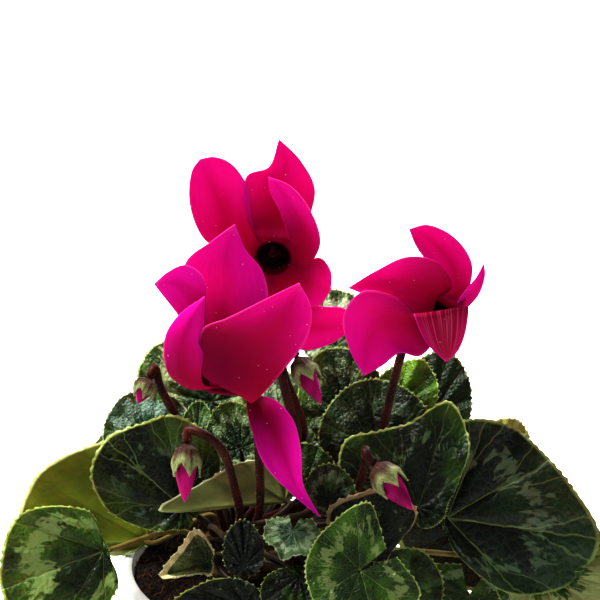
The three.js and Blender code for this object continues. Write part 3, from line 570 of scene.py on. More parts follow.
def socket_at(x, y):
    """Mouth and direction of a socket in the tuber's crown"""
    out = math.hypot(x, y) / TUBER["radius"]
    height = SOIL["level"] + TUBER["crown"] * math.sqrt(1 - out**2)
    mouth = np.array([TUBER["x"] + x, TUBER["y"] + y, height])
    return mouth, unit(np.array([x / TUBER["radius"], y / TUBER["radius"], 1]))


def leaf_sockets():
    """A socket for each leaf's stalk: its direction follows the leaf, and its ring the leaf's height"""
    joints = {name: seen(leaf["seen"]) for name, leaf in LEAVES.items()}
    names = sorted(joints, key=lambda n: math.atan2(joints[n][1] - TUBER["y"], joints[n][0] - TUBER["x"]))
    rings = SOCKET["rings"]
    steps = math.ceil(len(names) / len(rings))
    places = {}
    for step in range(steps):
        few = sorted(names[step * len(rings) : (step + 1) * len(rings)], key=lambda n: -joints[n][2])
        for ring, name in enumerate(few):
            angle = 2 * math.pi * (step + (ring % 2) / 2) / steps - math.pi
            places[name] = socket_at(rings[ring] * math.cos(angle), rings[ring] * math.sin(angle))
    return places


def rooted(socket):
    """Foot of a stalk in its socket, and the point above it where the stalk may bend"""
    mouth, way = socket
    return [mouth + way * (GAP - SOCKET["depth"]), mouth + way * SOCKET["lift"]]


def petiole_points(leaf, socket):
    """Points along a leaf's stalk, from its foot to the blade"""
    foot, start = rooted(socket)
    joint = seen(leaf["seen"])
    axis, normal, _ = axes_of(*leaf["facing"])
    back = axes_of(leaf["start"], 0)[0] if "start" in leaf else -axis
    second = start + socket[1] * np.linalg.norm(joint - start) * PETIOLE["rise"]
    third = joint - normal * leaf["reach"] * PETIOLE["below"] + back * leaf["reach"] * PETIOLE["behind"]
    t = np.linspace(0, 1, PIECES["leaf_stalk"])[:, None]
    bow = start * (1 - t) ** 3 + 3 * second * t * (1 - t) ** 2 + 3 * third * t**2 * (1 - t) + joint * t**3
    return np.vstack([foot, foot + (start - foot) * 0.5, bow])


def leaf_shape(name, socket, settings):
    """A leaf's toothed blade and its stalk"""
    leaf = {**LEAF, **LEAVES[name]}
    angle = np.linspace(-1, 1, settings.columns)
    x, y = outline(leaf, angle)
    length = np.sum(np.hypot(np.diff(x), np.diff(y)))
    teeth = max(TEETH["least"], round(length * MM / settings.tooth_spacing))
    uneven = 0.35 * np.sin(31 * angle + leaf["seen"][1]) + 0.25 * np.sin(53 * angle)
    tooth = 0.5 + 0.5 * np.cos(math.pi * teeth * (angle + 1) + TEETH["stray"] * uneven)
    share = 1 - (1 - np.linspace(0, 1, settings.rings)) ** CROWDING
    share[0] = INNERMOST
    angles, shares = np.meshgrid(angle, share)
    rim = shares > 0.999
    depth = settings.tooth_depth / MM / np.maximum(np.hypot(x, y), 4)
    toothed = 1 + depth * (tooth - TEETH["inward"]) * (0.8 + uneven) * rim
    places, u, v = on_blade(leaf, angles, shares * toothed)
    thin = settings.thickness / MM * (1 - THIN_EDGE * shares**3)
    gland = rim * (tooth > TEETH["gland"])
    shape = Shape()
    shape.sheet(places, thin, share=shares, swing=angles, leaf_x=u, leaf_y=v, tooth=gland)
    points = petiole_points(leaf, socket)
    radii = np.linspace(PETIOLE["radius"], PETIOLE["radius"] * PETIOLE["taper"], len(points))
    shape.tube(points, radii, SIDES["leaf_stalk"], 1)
    return shape


def petal_curves(petal, origin, axes):
    """Both margins of a petal, from the mouth's rim to its tip, and its direction from the mouth"""
    axis, normal, side = axes

    def round_at(angle):
        return side * math.cos(math.radians(angle)) + normal * math.sin(math.radians(angle))

    margins = []
    for margin, way in zip(petal["margins"], (-1, 1)):
        out = round_at(petal["rim"] + way * BLOOM["half_petal"])
        start = origin + CUP["petal_foot"] * axis + out * BLOOM["rim"]
        flare = origin + CUP["petal_flare"] * axis + out * (BLOOM["rim"] + BLOOM["flare"])
        margins.append([start, flare, *(seen(place) for place in margin), seen(petal["tip"])])
    return margins, round_at(petal["rim"])


def petal_sheet(petal, origin, axes, settings):
    """Grid of a petal's points, with their shares of the way to its tip and across it"""
    margins, out = petal_curves(petal, origin, axes)
    way = np.linspace(0, BLOOM["end"], settings.rows)
    across = np.linspace(0, 1, settings.columns)
    ways, shares = np.meshgrid(way, across, indexing="ij")
    left, right = (spline(margin, way)[:, None] for margin in margins)
    middle = 4 * shares * (1 - shares)
    spread = BLOOM["rim"] * (1 - math.cos(math.radians(BLOOM["spread"]))) * np.maximum(0, 1 - 2 * ways)
    hollow = petal["hollow"] * middle * np.sin(ways * math.pi)
    ripple = settings.ripple / MM * np.sin(5 * shares * math.pi + 3 * ways) * ways * (1 - ways)
    places = left * (1 - shares[..., None]) + right * shares[..., None]
    places = places + out * (spread * middle)[..., None] + AHEAD * (hollow + ripple)[..., None]
    return places, ways, shares


def bloom_petals(name, settings):
    """
    The cup with its nearly black throat, partly the flower's own dark eye and partly painted shade of the
    deep hole, its cone of anthers, and the petals round its mouth. The cup is coloured as a petal is some
    way up outside and close to the mouth inside.
    """
    bloom = BLOOMS[name]
    place = seen(bloom["mouth"]), axes_of(*bloom["facing"])
    rim, depth = BLOOM["rim"], BLOOM["depth"]
    outer = [(POLE, -depth), (rim * 0.6, -depth * 0.93), (rim + 0.3, -depth * 0.55)]
    outer += [(rim + 0.5, -depth * 0.2)]
    inner = [(rim + 0.2, 0.2), (rim - 0.5, 0), (rim - 0.5, -depth * 0.5), (rim * 0.5, 1.4 - depth)]
    inner += [(POLE, 1.2 - depth)]
    ways = np.repeat([CUP["outside"]] * len(outer) + [CUP["inside"]] * len(inner), SIDES["cup"])
    shape = Shape()
    shape.turned(outer + inner, SIDES["cup"], place, [0] * 6 + [1] * 2, way=ways, across=0.5)
    shape.turned([(radius, height - depth) for radius, height in CONE], SIDES["stalk"], place, 2)
    for number, petal in enumerate(bloom["petals"]):
        places, ways, across = petal_sheet(petal, *place, settings)
        thin = settings.thickness / MM * (1 - 0.5 * (2 * across - 1) ** 2 * ways)
        same = {"number": number, "tone": petal["tone"], "ribs": petal.get("ribbed", 0)}
        same = {key: np.full(ways.shape, float(value)) for key, value in same.items()}
        shape.sheet(places, thin, flip=True, way=ways, across=across, **same)
    return shape


def sepal_shape(shape, place, radius_at, tip, notch):
    """Five pointed sepals grown together round a body whose radius is known at each height"""
    outer, inner, sides = GAP + SEPAL["thickness"] * 0.9, GAP + 0.1, SIDES["sepals"]

    def bend(extra, heights, turns):
        point = np.abs((turns * PETALS / (2 * math.pi)) % 1 - 0.5) * 2
        at = heights * (notch + (tip - notch) * point ** SEPAL["sharpness"])
        ridge = SEPAL["ridge"] * point**4 * np.sin(heights * math.pi)
        flare = (SEPAL["flare"] * np.maximum(0, heights - SEPAL["flare_from"]) * point) ** 2
        rib = SEPAL["rib"] * np.cos(3 * PETALS * turns) * (extra > inner)
        foot = np.where(extra > inner, -SEPAL["thickness"] - GAP, -GAP)
        radius = radius_at(at) + extra + ridge + flare + rib
        return np.where(heights == 0, POLE, radius), np.where(heights == 0, foot, at)

    shares = np.concatenate([[0], np.linspace(0.06, 1, PIECES["sepals"])])
    profile = [(outer, share) for share in shares] + [(inner, share) for share in shares[::-1]]
    shape.turned(profile, sides, place, 1, bend, height=np.repeat([share for _, share in profile], sides))


def flower_stalk(flower, foot, axes, radius_at, tip, notch, pieces):
    """A flower's stalk with the sepals round the flower's foot"""
    shape = Shape()
    sepal_shape(shape, (foot, axes), radius_at, tip, notch)
    axis = axes[0]
    end = foot - (GAP + SEPAL["thickness"]) * axis
    root, start = rooted(socket_at(*flower["root"]))
    places = [start, *(seen(place) for place in flower["stem"]), end - 4 * axis, end - axis]
    points = np.vstack([root, spline(places, np.linspace(0, 1, pieces)), end + 0.3 * axis])
    radii = [SCAPE["foot"], SCAPE["radius"], SCAPE["radius"]]
    shape.tube(points, np.interp(np.linspace(0, 1, len(points)), [0, 0.33, 1], radii), SIDES["stalk"], 0)
    return shape


def bloom_stalk(name):
    """A bloom's stalk and calyx"""
    bloom = BLOOMS[name]
    axes = axes_of(*bloom["facing"])
    rim, depth = BLOOM["rim"], BLOOM["depth"]
    heights = np.array([0, 0.07, 0.45, 1]) * depth
    radii = (rim * 0.45, rim * 0.6, rim + 0.3, rim + 0.5)

    def radius_at(height):
        return np.interp(height, heights, radii)

    foot = seen(bloom["mouth"]) - depth * axes[0]
    tip, notch = depth * CUP["calyx"], depth * CUP["notch"]
    return flower_stalk(bloom, foot, axes, radius_at, tip, notch, PIECES["bloom_stalk"])


def bud_radius(bud, height):
    """Radius of a bud at heights above its foot"""
    radii, heights = np.array(BUD_PROFILE).T
    return np.interp(height, heights * bud["length"], radii * bud["radius"])


def bud_petals(name):
    """A pointed bud whose petals are wound round each other"""
    bud = BUDS[name]
    length = bud["length"]
    heights = np.linspace(0, 1, PIECES["bud"]) * length
    near = np.linspace(-1, 1, 9) * BUD["smoothing"] * length
    smooth = np.array([np.mean(bud_radius(bud, np.clip(height + near, 0, length))) for height in heights])
    smooth[[0, -1]] = POLE

    def wound(radius, height, turns):
        wrap = ((PETALS * turns + BUD["twist"] * height / length) / (2 * math.pi)) % 1
        return radius * (BUD["groove"] + BUD["ridge"] * wrap**0.6), height

    shape = Shape()
    place = seen(bud["seen"]), axes_of(*bud["facing"])
    shape.turned(np.column_stack([smooth, heights]), SIDES["bud"], place, 0, wound)
    return shape


def bud_stalk(name):
    """A bud's stalk and sepals"""
    bud = BUDS[name]
    axes = axes_of(*bud["facing"])
    tip = max(height for _, height in BUD_PROFILE if height <= bud["sepals"]) * bud["length"]

    def radius_at(height):
        return bud_radius(bud, np.maximum(height, 0.05)) * BUD["under_sepals"]

    notch = tip * BUD["notch"]
    return flower_stalk(bud, seen(bud["seen"]), axes, radius_at, tip, notch, PIECES["bud_stalk"])


def colour(code):
    """Linear colour from a hexadecimal one"""
    parts = [int(code[k : k + 2], 16) / 255 for k in (0, 2, 4)]
    return (*(p / 12.92 if p <= 0.04045 else ((p + 0.055) / 1.055) ** 2.4 for p in parts), 1)


class Nodes:
    """Short ways to add nodes to a tree"""

    def __init__(self, tree):
        self.tree = tree

    def add(self, kind, inputs=None, **settings):
        node = self.tree.nodes.new(kind)
        for key, value in settings.items():
            setattr(node, key, value)
        for key, value in (inputs or {}).items():
            if isinstance(value, bpy.types.NodeSocket):
                self.tree.links.new(value, node.inputs[key])
            else:
                node.inputs[key].default_value = value
        return node

    def link(self, output, socket):
        self.tree.links.new(output, socket)

    def math(self, operation, first, *others):
        for other in others:
            first = self.add("ShaderNodeMath", {0: first, 1: other}, operation=operation).outputs[0]
        return first

    def times(self, *factors):
        return self.math("MULTIPLY", *factors)

    def plus(self, *terms):
        return self.math("ADD", *terms)

    def minus(self, a, b):
        return self.math("SUBTRACT", a, b)

    def apart(self, a, b):
        """Distance between two values"""
        return self.math("ABSOLUTE", self.minus(a, b), 0.0)

    def value(self, name):
        return self.add("ShaderNodeAttribute", attribute_name=name).outputs["Fac"]

    def step(self, value, low, high, start=0.0, end=1.0):
        """A smooth change from start to end while a value goes from low to high"""
        inputs = {"Value": value, "From Min": low, "From Max": high, "To Min": start, "To Max": end}
        return self.add("ShaderNodeMapRange", inputs, interpolation_type="SMOOTHSTEP").outputs[0]

    def fade(self, value, low, high, start=1.0):
        return self.step(value, low, high, start, 0.0)

    def mix(self, share, a, b, blend="MIX"):
        inputs = {0: share, 6: a, 7: b}
        return self.add("ShaderNodeMix", inputs, data_type="RGBA", blend_type=blend).outputs[2]

    def point(self, x, y, z=0.0):
        return self.add("ShaderNodeCombineXYZ", {0: x, 1: y, 2: z}).outputs[0]

    def noise(self, vector, scale, detail=4.0, distortion=0.0):
        inputs = {"Vector": vector, "Scale": scale, "Detail": detail, "Distortion": distortion}
        return self.add("ShaderNodeTexNoise", inputs).outputs[0]


def new_group(kind, name, inputs, outputs):
    """A node group with its named sockets: kind and default of each input, kind of each output"""
    group = bpy.data.node_groups.new(name, kind)
    for key, (socket, value) in inputs.items():
        item = group.interface.new_socket(key, in_out="INPUT", socket_type="NodeSocket" + socket)
        if value is not None:
            item.default_value = value
    for key, socket in outputs.items():
        group.interface.new_socket(key, in_out="OUTPUT", socket_type="NodeSocket" + socket)
    nodes = Nodes(group)
    return group, nodes, nodes.add("NodeGroupInput").outputs, nodes.add("NodeGroupOutput").inputs


def leaf_group(vein):
    """Colour, roughness and height of a marbled leaf"""
    inputs = {key.capitalize(): ("Color", colour(LOOK[key])) for key in LEAF_COLOURS}
    inputs |= {key.capitalize(): ("Float", LOOK[key]) for key in LEAF_SHARES}
    inputs |= {"Vein": ("Color", vein), "Seed": ("Float", 0.0)}
    outputs = {"Colour": "Color", "Roughness": "Float", "Height": "Float"}
    group, n, given, out = new_group("ShaderNodeTree", "Marbled leaf", inputs, outputs)
    share, swing, back = n.value("share"), n.value("swing"), n.value("back")
    flat = n.point(n.value("leaf_x"), n.value("leaf_y"), given["Seed"])
    warp = n.times(n.minus(n.noise(flat, 5.0), 0.5), 0.12)

    # Main veins run along rays from the stalk, fork towards the edge and have a fine net between them
    ray = n.plus(n.times(swing, VEINS), n.times(warp, 2.2))
    off = n.apart(ray, n.math("ROUND", ray, 0.0))
    main = n.times(n.fade(n.times(off, share), 0.004, 0.02), n.step(share, 0.2, 0.95, 1.0, 0.45))
    fork = n.apart(off, n.times(n.step(share, 0.35, 1.0), 0.26))
    forks = n.times(n.fade(n.times(fork, share), 0.003, 0.014, 0.45), n.step(share, 0.35, 0.5))
    around = {"Vector": flat, "Scale": 15.0}
    cells = n.add("ShaderNodeTexVoronoi", around, feature="DISTANCE_TO_EDGE").outputs[0]
    veins = n.math("MAXIMUM", main, forks, n.fade(cells, 0.0, 0.06, 0.1))

    # Silver marbling fills a band between the stalk and the edge, frayed along the rays
    patch, blotch = n.noise(flat, 9.0, 6.0, 1.2), n.noise(flat, 3.2, 3.0, 0.5)
    plume = n.noise(n.point(n.times(swing, 13.0), n.times(share, 3.0), given["Seed"]), 1.8, 7.0, 1.4)
    middle = n.plus(0.58, n.times(off, 0.3), n.times(warp, 1.6))
    band = n.fade(n.apart(share, middle), 0.02, 0.26)
    field = n.plus(n.times(band, 0.34), n.times(plume, 0.9), n.times(blotch, 0.2))
    edge = n.minus(field, n.minus(1.05, n.times(given["Marbling"], 0.5)))
    silver = n.step(edge, -0.02, 0.09, 0.0, 0.85)

    # The face has painted light in patches, the underside is plain but for darker blotches of painted
    # shade, and both have a pale margin, partly the leaf's own edge colour and partly a painted glow of
    # light from behind
    lit = n.step(n.plus(n.noise(flat, 2.2, 2.0), n.times(share, 0.2)), 0.5, 0.85)
    grain = n.step(n.noise(flat, 38.0, 5.0), 0.3, 0.7, 0.65, 1.3)
    face = n.mix(lit, given["Face"], given["Light"])
    face = n.mix(1.0, face, n.point(grain, grain, grain), "MULTIPLY")
    face = n.mix(silver, face, given["Silver"])
    face = n.mix(n.times(veins, given["Veins"]), face, given["Vein"])
    under = n.mix(n.times(veins, 0.4), given["Under"], given["Light"])
    # Painted shade: large soft blotches darken the underside towards the face's colour
    under = n.mix(n.step(blotch, 0.35, 0.7, 0.0, 0.6), under, given["Face"])
    # Pale margin: partly the leaf's own edge colour, partly a painted glow of the light behind the leaf
    inside = n.minus(n.plus(share, n.times(warp, 0.3)), given["Rim"])
    margin = n.step(inside, -0.008, 0.016, 0.0, 0.9)
    n.link(n.mix(margin, n.mix(back, face, under), given["Margin"]), out["Colour"])
    n.link(n.plus(n.times(patch, 0.3), 0.26), out["Roughness"])

    # The blade bulges between sunken veins, less so at the back
    bulge = n.times(n.math("MINIMUM", off, 0.3), share, 3.0)
    relief = n.plus(n.times(cells, 0.8), n.times(patch, 0.6), n.times(blotch, 2.0), bulge)
    relief = n.minus(relief, n.times(main, 0.5))
    n.link(n.times(relief, n.minus(1.0, n.times(back, 0.75))), out["Height"])
    return group


def petal_group(settings):
    """Colour and height of a petal from its mouth to its tip"""
    inputs = {key.capitalize(): ("Color", getattr(settings, key)) for key in PETAL_COLOURS}
    outputs = {"Colour": "Color", "Height": "Float"}
    group, n, given, out = new_group("ShaderNodeTree", "Petal", inputs, outputs)
    way, across, back = n.value("way"), n.value("across"), n.value("back")
    number, tone, ribbed = n.value("number"), n.value("tone"), n.value("ribs")
    off = n.times(n.apart(across, 0.5), 2.0)
    fine = n.noise(n.point(n.times(across, 40.0), n.times(way, 2.5), number), 2.0, 5.0)
    broad = n.noise(n.point(across, way, number), 2.4, 3.0)

    # Bright towards the tip and the margins: a painted glow of light let through the thin petal. Crimson
    # and
    # then nearly black towards the mouth: partly the petals' own dark eye and partly painted shade, which
    # reaches further as tone rises
    rose = n.plus(n.times(off, 0.7), way, n.times(broad, 0.7))
    body = n.mix(n.step(n.minus(rose, n.times(tone, 0.4)), 0.5, 1.45), given["Middle"], given["Margin"])
    reach = n.plus(way, n.times(n.plus(fine, broad), 0.1))
    body = n.mix(n.fade(n.minus(reach, n.times(tone, 0.4)), 0.05, 0.72), body, given["Throat"])
    body = n.mix(n.fade(reach, 0.06, 0.3), body, given["Mouth"])
    # Painted shade in the fold along one margin near the mouth, in the hollow where the petal meets its
    # neighbour; deeper as tone rises
    fold = n.times(n.step(across, 0.0, 0.75), n.fade(way, 0.25, 0.72, 1.25))
    body = n.mix(n.times(tone, fold), body, given["Mouth"])
    body = n.mix(n.fade(fine, 0.3, 0.75, 0.1), body, given["Mouth"])

    # A ribbed petal has pale ribs on dark crimson, less so towards its margins
    body = n.mix(n.times(ribbed, n.step(off, 0.4, 1.0, 0.95, 0.6)), body, given["Throat"])
    rib = n.step(n.noise(n.point(n.times(across, 40.0), way), 1.0, 2.0), 0.5, 0.62)
    body = n.mix(n.times(rib, ribbed, n.fade(off, 0.5, 0.95, 0.75)), body, given["Rib"])

    # Pale edges fade towards the mouth
    brink = n.step(n.math("MAXIMUM", off, way), 0.92, 1.0, 0.0, 0.6)
    brink = n.times(brink, n.step(broad, 0.3, 0.6, 0.4, 1.0), n.step(way, 0.25, 0.6))
    body = n.mix(brink, body, given["Edge"])
    n.link(n.mix(n.times(back, 0.3), body, given["Outside"]), out["Colour"])
    n.link(n.plus(n.times(fine, 0.4), broad), out["Height"])
    return group


def new_material(name, roughness=0.6, soft=0.0, specular=0.16):
    """A material with the nodes of its tree and the inputs of its shader"""
    material = bpy.data.materials.new(name)
    material.use_nodes = True
    shader = material.node_tree.nodes["Principled BSDF"]
    shader.inputs["Roughness"].default_value = roughness
    shader.inputs["Subsurface Weight"].default_value = soft
    shader.inputs["Subsurface Scale"].default_value = 0.003
    shader.inputs["Specular IOR Level"].default_value = specular
    return material, Nodes(material.node_tree), shader.inputs


def bump(n, given, height, distance):
    """Relief of a material, with its greatest depth in metres"""
    node = n.add("ShaderNodeBump", {"Height": height, "Distance": distance, "Strength": 0.8})
    n.link(node.outputs[0], given["Normal"])


def leaf_material(name, group, number):
    """The shared leaf with a leaf's own colours, in a place of its own in the noise"""
    look = {**LOOK, **LOOKS.get(name, {})}
    material, n, given = new_material("Blade " + name, soft=0.1, specular=0.25)
    shared = n.add("ShaderNodeGroup", node_tree=group)
    for key in LEAF_COLOURS:
        shared.inputs[key.capitalize()].default_value = colour(look[key])
    for key in LEAF_SHARES:
        shared.inputs[key.capitalize()].default_value = look[key]
    shared.inputs["Seed"].default_value = number * 1.7
    n.link(shared.outputs["Colour"], given["Base Color"])
    n.link(shared.outputs["Roughness"], given["Roughness"])
    bump(n, given, shared.outputs["Height"], 0.0011)
    return material


def petal_material(group):
    """Thin petals that let light through, with a faint painted glow in their own colour"""
    material, n, given = new_material("Petal", soft=0.3, specular=0.04)
    shared = n.add("ShaderNodeGroup", node_tree=group)
    n.link(shared.outputs["Colour"], given["Base Color"])
    # A faint painted glow: the petals give off a little light in their own colour
    n.link(shared.outputs["Colour"], given["Emission Color"])
    given["Emission Strength"].default_value = 0.05
    bump(n, given, shared.outputs["Height"], 0.0002)
    return material


def mottled(name, dark, light, scale, roughness=0.6, relief=0.0003, soft=0.0, stretch=(1, 1, 1)):
    """A material of two mottled colours over the object's own coordinates"""
    dark, light = (colour(shade) if isinstance(shade, str) else shade for shade in (dark, light))
    material, n, given = new_material(name, roughness, soft)
    place = n.add("ShaderNodeTexCoord").outputs["Object"]
    place = n.add("ShaderNodeMapping", {"Vector": place, "Scale": stretch}).outputs[0]
    patch = n.noise(place, scale, 6.0, 0.3)
    n.link(n.mix(n.step(patch, 0.35, 0.65), dark, light), given["Base Color"])
    bump(n, given, patch, relief)
    return material


def sepal_material():
    """Brown at the foot, with pale green tips and dark streaks"""
    material, n, given = new_material("Sepals", 0.55, 0.05)
    share = n.value("height")
    streak = n.noise(n.point(n.times(n.value("turn"), 16.0), n.times(share, 1.5)), 3.0, 4.0)
    pale = n.step(n.plus(share, n.times(streak, 0.8)), 0.7, 1.2)
    tint = n.mix(pale, colour("4a2c22"), colour("a0a870"))
    tint = n.mix(n.step(streak, 0.5, 0.66, 0.0, 0.75), tint, colour("32150f"))
    n.link(tint, given["Base Color"])
    bump(n, given, streak, 0.0004)
    return material


def scatter_group(name, selection=None):
    """Small copies of an object strewn over a mesh, at seeded random places or at marked points"""
    inputs = {"Geometry": ("Geometry", None), "Copy": ("Object", None), "Material": ("Material", None)}
    inputs |= {"Density": ("Float", 1000.0), "Least size": ("Float", 0.5), "Greatest size": ("Float", 1.0)}
    inputs |= {"Least slope": ("Float", -1.0), "Tumble": ("Float", 0.0), "Seed": ("Int", 0)}
    group, n, given, out = new_group("GeometryNodeTree", name, inputs, {"Geometry": "Geometry"})
    seed = given["Seed"]

    def above(value, least):
        test = {"data_type": "FLOAT", "operation": "GREATER_THAN"}
        return n.add("FunctionNodeCompare", {0: value, 1: least}, **test).outputs[0]

    if selection:
        marked = n.add("GeometryNodeInputNamedAttribute", {"Name": selection}, data_type="FLOAT").outputs[0]
        chosen = {"Mesh": given["Geometry"], "Selection": above(marked, 0.5)}
        places = {"Points": n.add("GeometryNodeMeshToPoints", chosen).outputs[0]}
    else:
        normal = n.add("GeometryNodeInputNormal").outputs[0]
        slope = n.add("ShaderNodeSeparateXYZ", {0: normal}).outputs[2]
        chosen = {"Mesh": given["Geometry"], "Selection": above(slope, given["Least slope"])}
        chosen |= {"Density": given["Density"], "Seed": seed}
        strewn = n.add("GeometryNodeDistributePointsOnFaces", chosen)
        places = {key: strewn.outputs[key] for key in ("Points", "Rotation")}
    copy = n.add("GeometryNodeObjectInfo", {"Object": given["Copy"]}).outputs["Geometry"]
    sizes = {2: given["Least size"], 3: given["Greatest size"], "Seed": seed}
    size = n.add("FunctionNodeRandomValue", sizes, data_type="FLOAT").outputs[1]
    placed = n.add("GeometryNodeInstanceOnPoints", {**places, "Instance": copy, "Scale": size}).outputs[0]
    least = n.point(*[n.times(given["Tumble"], -1.0)] * 3)
    turns = {0: least, 1: n.point(*[given["Tumble"]] * 3), "Seed": seed}
    tumble = n.add("FunctionNodeRandomValue", turns, data_type="FLOAT_VECTOR").outputs[0]
    tumbled = n.add("GeometryNodeRotateInstances", {"Instances": placed, "Rotation": tumble}).outputs[0]
    real = n.add("GeometryNodeRealizeInstances", {"Geometry": tumbled}).outputs[0]
    painted = n.add("GeometryNodeSetMaterial", {"Geometry": real, "Material": given["Material"]}).outputs[0]
    joined = n.add("GeometryNodeJoinGeometry")
    n.link(given["Geometry"], joined.inputs[0])
    n.link(painted, joined.inputs[0])
    n.link(joined.outputs[0], out["Geometry"])
    return group


def keep_result(piece, modifier):
    """Turns what a modifier makes into the piece's plain mesh"""
    bpy.context.view_layer.update()
    graph = bpy.context.evaluated_depsgraph_get()
    mesh = bpy.data.meshes.new_from_object(piece.evaluated_get(graph))
    piece.modifiers.remove(modifier)
    if len(mesh.vertices) <= len(piece.data.vertices):
        raise RuntimeError(f"nothing was added to {piece.name}")
    old, name = piece.data, piece.data.name
    piece.data = mesh
    bpy.data.meshes.remove(old)
    mesh.name = name


def strew(piece, group, copy, material, sizes, seed, density=1.0, slope=-1.0, tumble=0.0):
    """
    Strews copies between two sizes over a piece, or sets them at its marked points. density is for a
    square centimetre, slope the least rise of the faces' normals, and tumble an angle to each side.
    """
    modifier = piece.modifiers.new("Scatter", "NODES")
    modifier.node_group = group
    sockets = {item.name: item.identifier for item in group.interface.items_tree if item.in_out == "INPUT"}
    values = {"Copy": copy, "Material": material, "Least size": sizes[0], "Greatest size": sizes[1]}
    values |= {"Seed": seed, "Density": density / SQUARE_CM, "Least slope": slope, "Tumble": tumble}
    for key, value in values.items():
        modifier[sockets[key]] = value
    keep_result(piece, modifier)


def drilled(piece, places, radius, depth):
    """Cuts upright round holes through the foot of a piece"""
    drill = Shape()
    for place in places:
        profile = [(POLE, -1), (radius, -1), (radius, depth), (POLE, depth)]
        drill.turned(profile, SIDES["hole"], (place, np.eye(3)[::-1]))
    cutter = drill.build("Drill", [])
    modifier = piece.modifiers.new("Holes", "BOOLEAN")
    modifier.object, modifier.operation, modifier.solver = cutter, "DIFFERENCE", "EXACT"
    keep_result(piece, modifier)
    piece.data.set_sharp_from_angle(angle=SHARP)
    mesh = cutter.data
    bpy.data.objects.remove(cutter)
    bpy.data.meshes.remove(mesh)


def pattern(name, points, faces):
    """A small object to copy, kept out of the scene"""
    mesh = bpy.data.meshes.new(name)
    mesh.from_pydata((np.array(points) * MM).tolist(), [], faces)
    mesh.shade_smooth()
    return bpy.data.objects.new(name, mesh)


def grain_pattern(name, stretch):
    """An uneven eight-sided grain one millimetre in radius"""
    points = np.array([[1, 0, 0], [0, 1.1, 0], [-0.9, 0, 0], [0, -1, 0], [0.1, 0, 0.8], [0, 0.1, -0.8]])
    faces = [[0, 1, 4], [1, 2, 4], [2, 3, 4], [3, 0, 4], [1, 0, 5], [2, 1, 5], [3, 2, 5], [0, 3, 5]]
    return pattern(name, points * stretch, faces)


def hair_pattern():
    """A three-sided hair that stands up from its foot"""
    points = [[0.06, 0, 0], [-0.03, 0.05, 0], [-0.03, -0.05, 0], [0.05, 0, 0.6]]
    return pattern("Hair", points, [[0, 1, 3], [1, 2, 3], [2, 0, 3], [2, 1, 0]])


def settle(piece, slot, *nodes):
    """Puts a piece in the place of the part's nodes"""
    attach(piece, "root")
    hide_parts(*nodes)


def whole(name, description, default, least=0):
    """A setting that is a whole number"""
    return bpy.props.IntProperty(name=name, description=description, default=default, min=least)


def amount(name, description, default, unit="NONE"):
    """A setting that isn't negative"""
    return bpy.props.FloatProperty(name=name, description=description, default=default, min=0, unit=unit)


def size(name, description, default):
    """A setting in metres from a size in millimetres"""
    return amount(name, description, default * MM, "LENGTH")


def tint(name, description, default):
    """A setting that is a colour"""
    return bpy.props.FloatVectorProperty(
        name=name, description=description, default=colour(default), min=0, max=1, size=4, subtype="COLOR"
    )


class PotSettings(bpy.types.PropertyGroup):
    """Pot and soil"""

    sides: whole("Sides", "Flats round the pot", 128, 32)
    grit: amount("Grit", "Grains of soil in each square centimetre", 55)
    fibres: amount("Fibres", "Fibres in each square centimetre", 7)
    seed: whole("Seed", "Start of the random draws", 11)
    plastic: tint("Plastic", "Colour of the pot", "b2b2ac")
    peat: tint("Peat", "Light parts of the soil", "1e130b")
    cork: tint("Cork", "Light parts of the tuber", "6a4c34")


class LeafSettings(bpy.types.PropertyGroup):
    """Leaves and their stalks"""

    columns: whole("Columns", "Points round the blade", 321, 40)
    rings: whole("Rings", "Points from the stalk to the edge", 13, 5)
    thickness: size("Thickness", "Thickness of the blade", 0.6)
    tooth_spacing: size("Tooth spacing", "Distance from tooth to tooth", 2.4)
    tooth_depth: size("Tooth depth", "Depth of the teeth", 0.7)
    veins: tint("Veins", "Colour of the veins", "8aa35c")
    stalk: tint("Stalk", "Light parts of the stalks", "3a2a16")
    pale_stalk: tint("Pale stalk", "Light parts of the pale stalks", "85743a")


class FlowerSettings(bpy.types.PropertyGroup):
    """Blooms and buds with their stalks"""

    rows: whole("Rows", "Points from the mouth to the tip", 48, 8)
    columns: whole("Columns", "Points across a petal", 29, 5)
    thickness: size("Thickness", "Thickness of a petal", 0.6)
    ripple: size("Ripple", "Height of the ripples", 0.35)
    hairs: amount("Hairs", "Hairs in each square centimetre of stalk", 60)
    drops: amount("Drops", "Drops of dew in each square centimetre of petal", 0.6)
    seed: whole("Seed", "Start of the random draws", 7)
    # Mouth and throat darken the petals near the mouth, partly their own dark eye and partly painted shade;
    # mouth also lays painted shade in their folds, and margin is their magenta brightened by a painted glow
    # towards tip and margins
    mouth: tint("Mouth", "Petals at the mouth and in their folds", "200004")
    throat: tint("Throat", "Petals near the mouth", "74000e")
    middle: tint("Middle", "Petals between mouth and margin", "c8006e")
    margin: tint("Margin", "Petals towards tip and margin", "fa0cbc")
    outside: tint("Outside", "Back of the petals", "d80064")
    rib: tint("Rib", "Ribs of a ribbed petal", "c06484")
    edge: tint("Edge", "Outermost edge of the petals", "ff4cc0")
    bud: tint("Bud", "Light parts of the buds", "d80a88")
    stalk: tint("Stalk", "Light parts of the stalks", "561e12")


class StageSettings(bpy.types.PropertyGroup):
    """Light and floor"""

    key: amount("Key light", "Power of the key light", 26, "POWER")
    back: amount("Back light", "Power of the light behind the plant", 12, "POWER")
    fill: amount("Fill light", "Power of the light in front", 1, "POWER")
    sky: amount("Surroundings", "Brightness of the surroundings", 0.19)
    glow: amount("Floor glow", "Brightness added to the floor", 0.7)


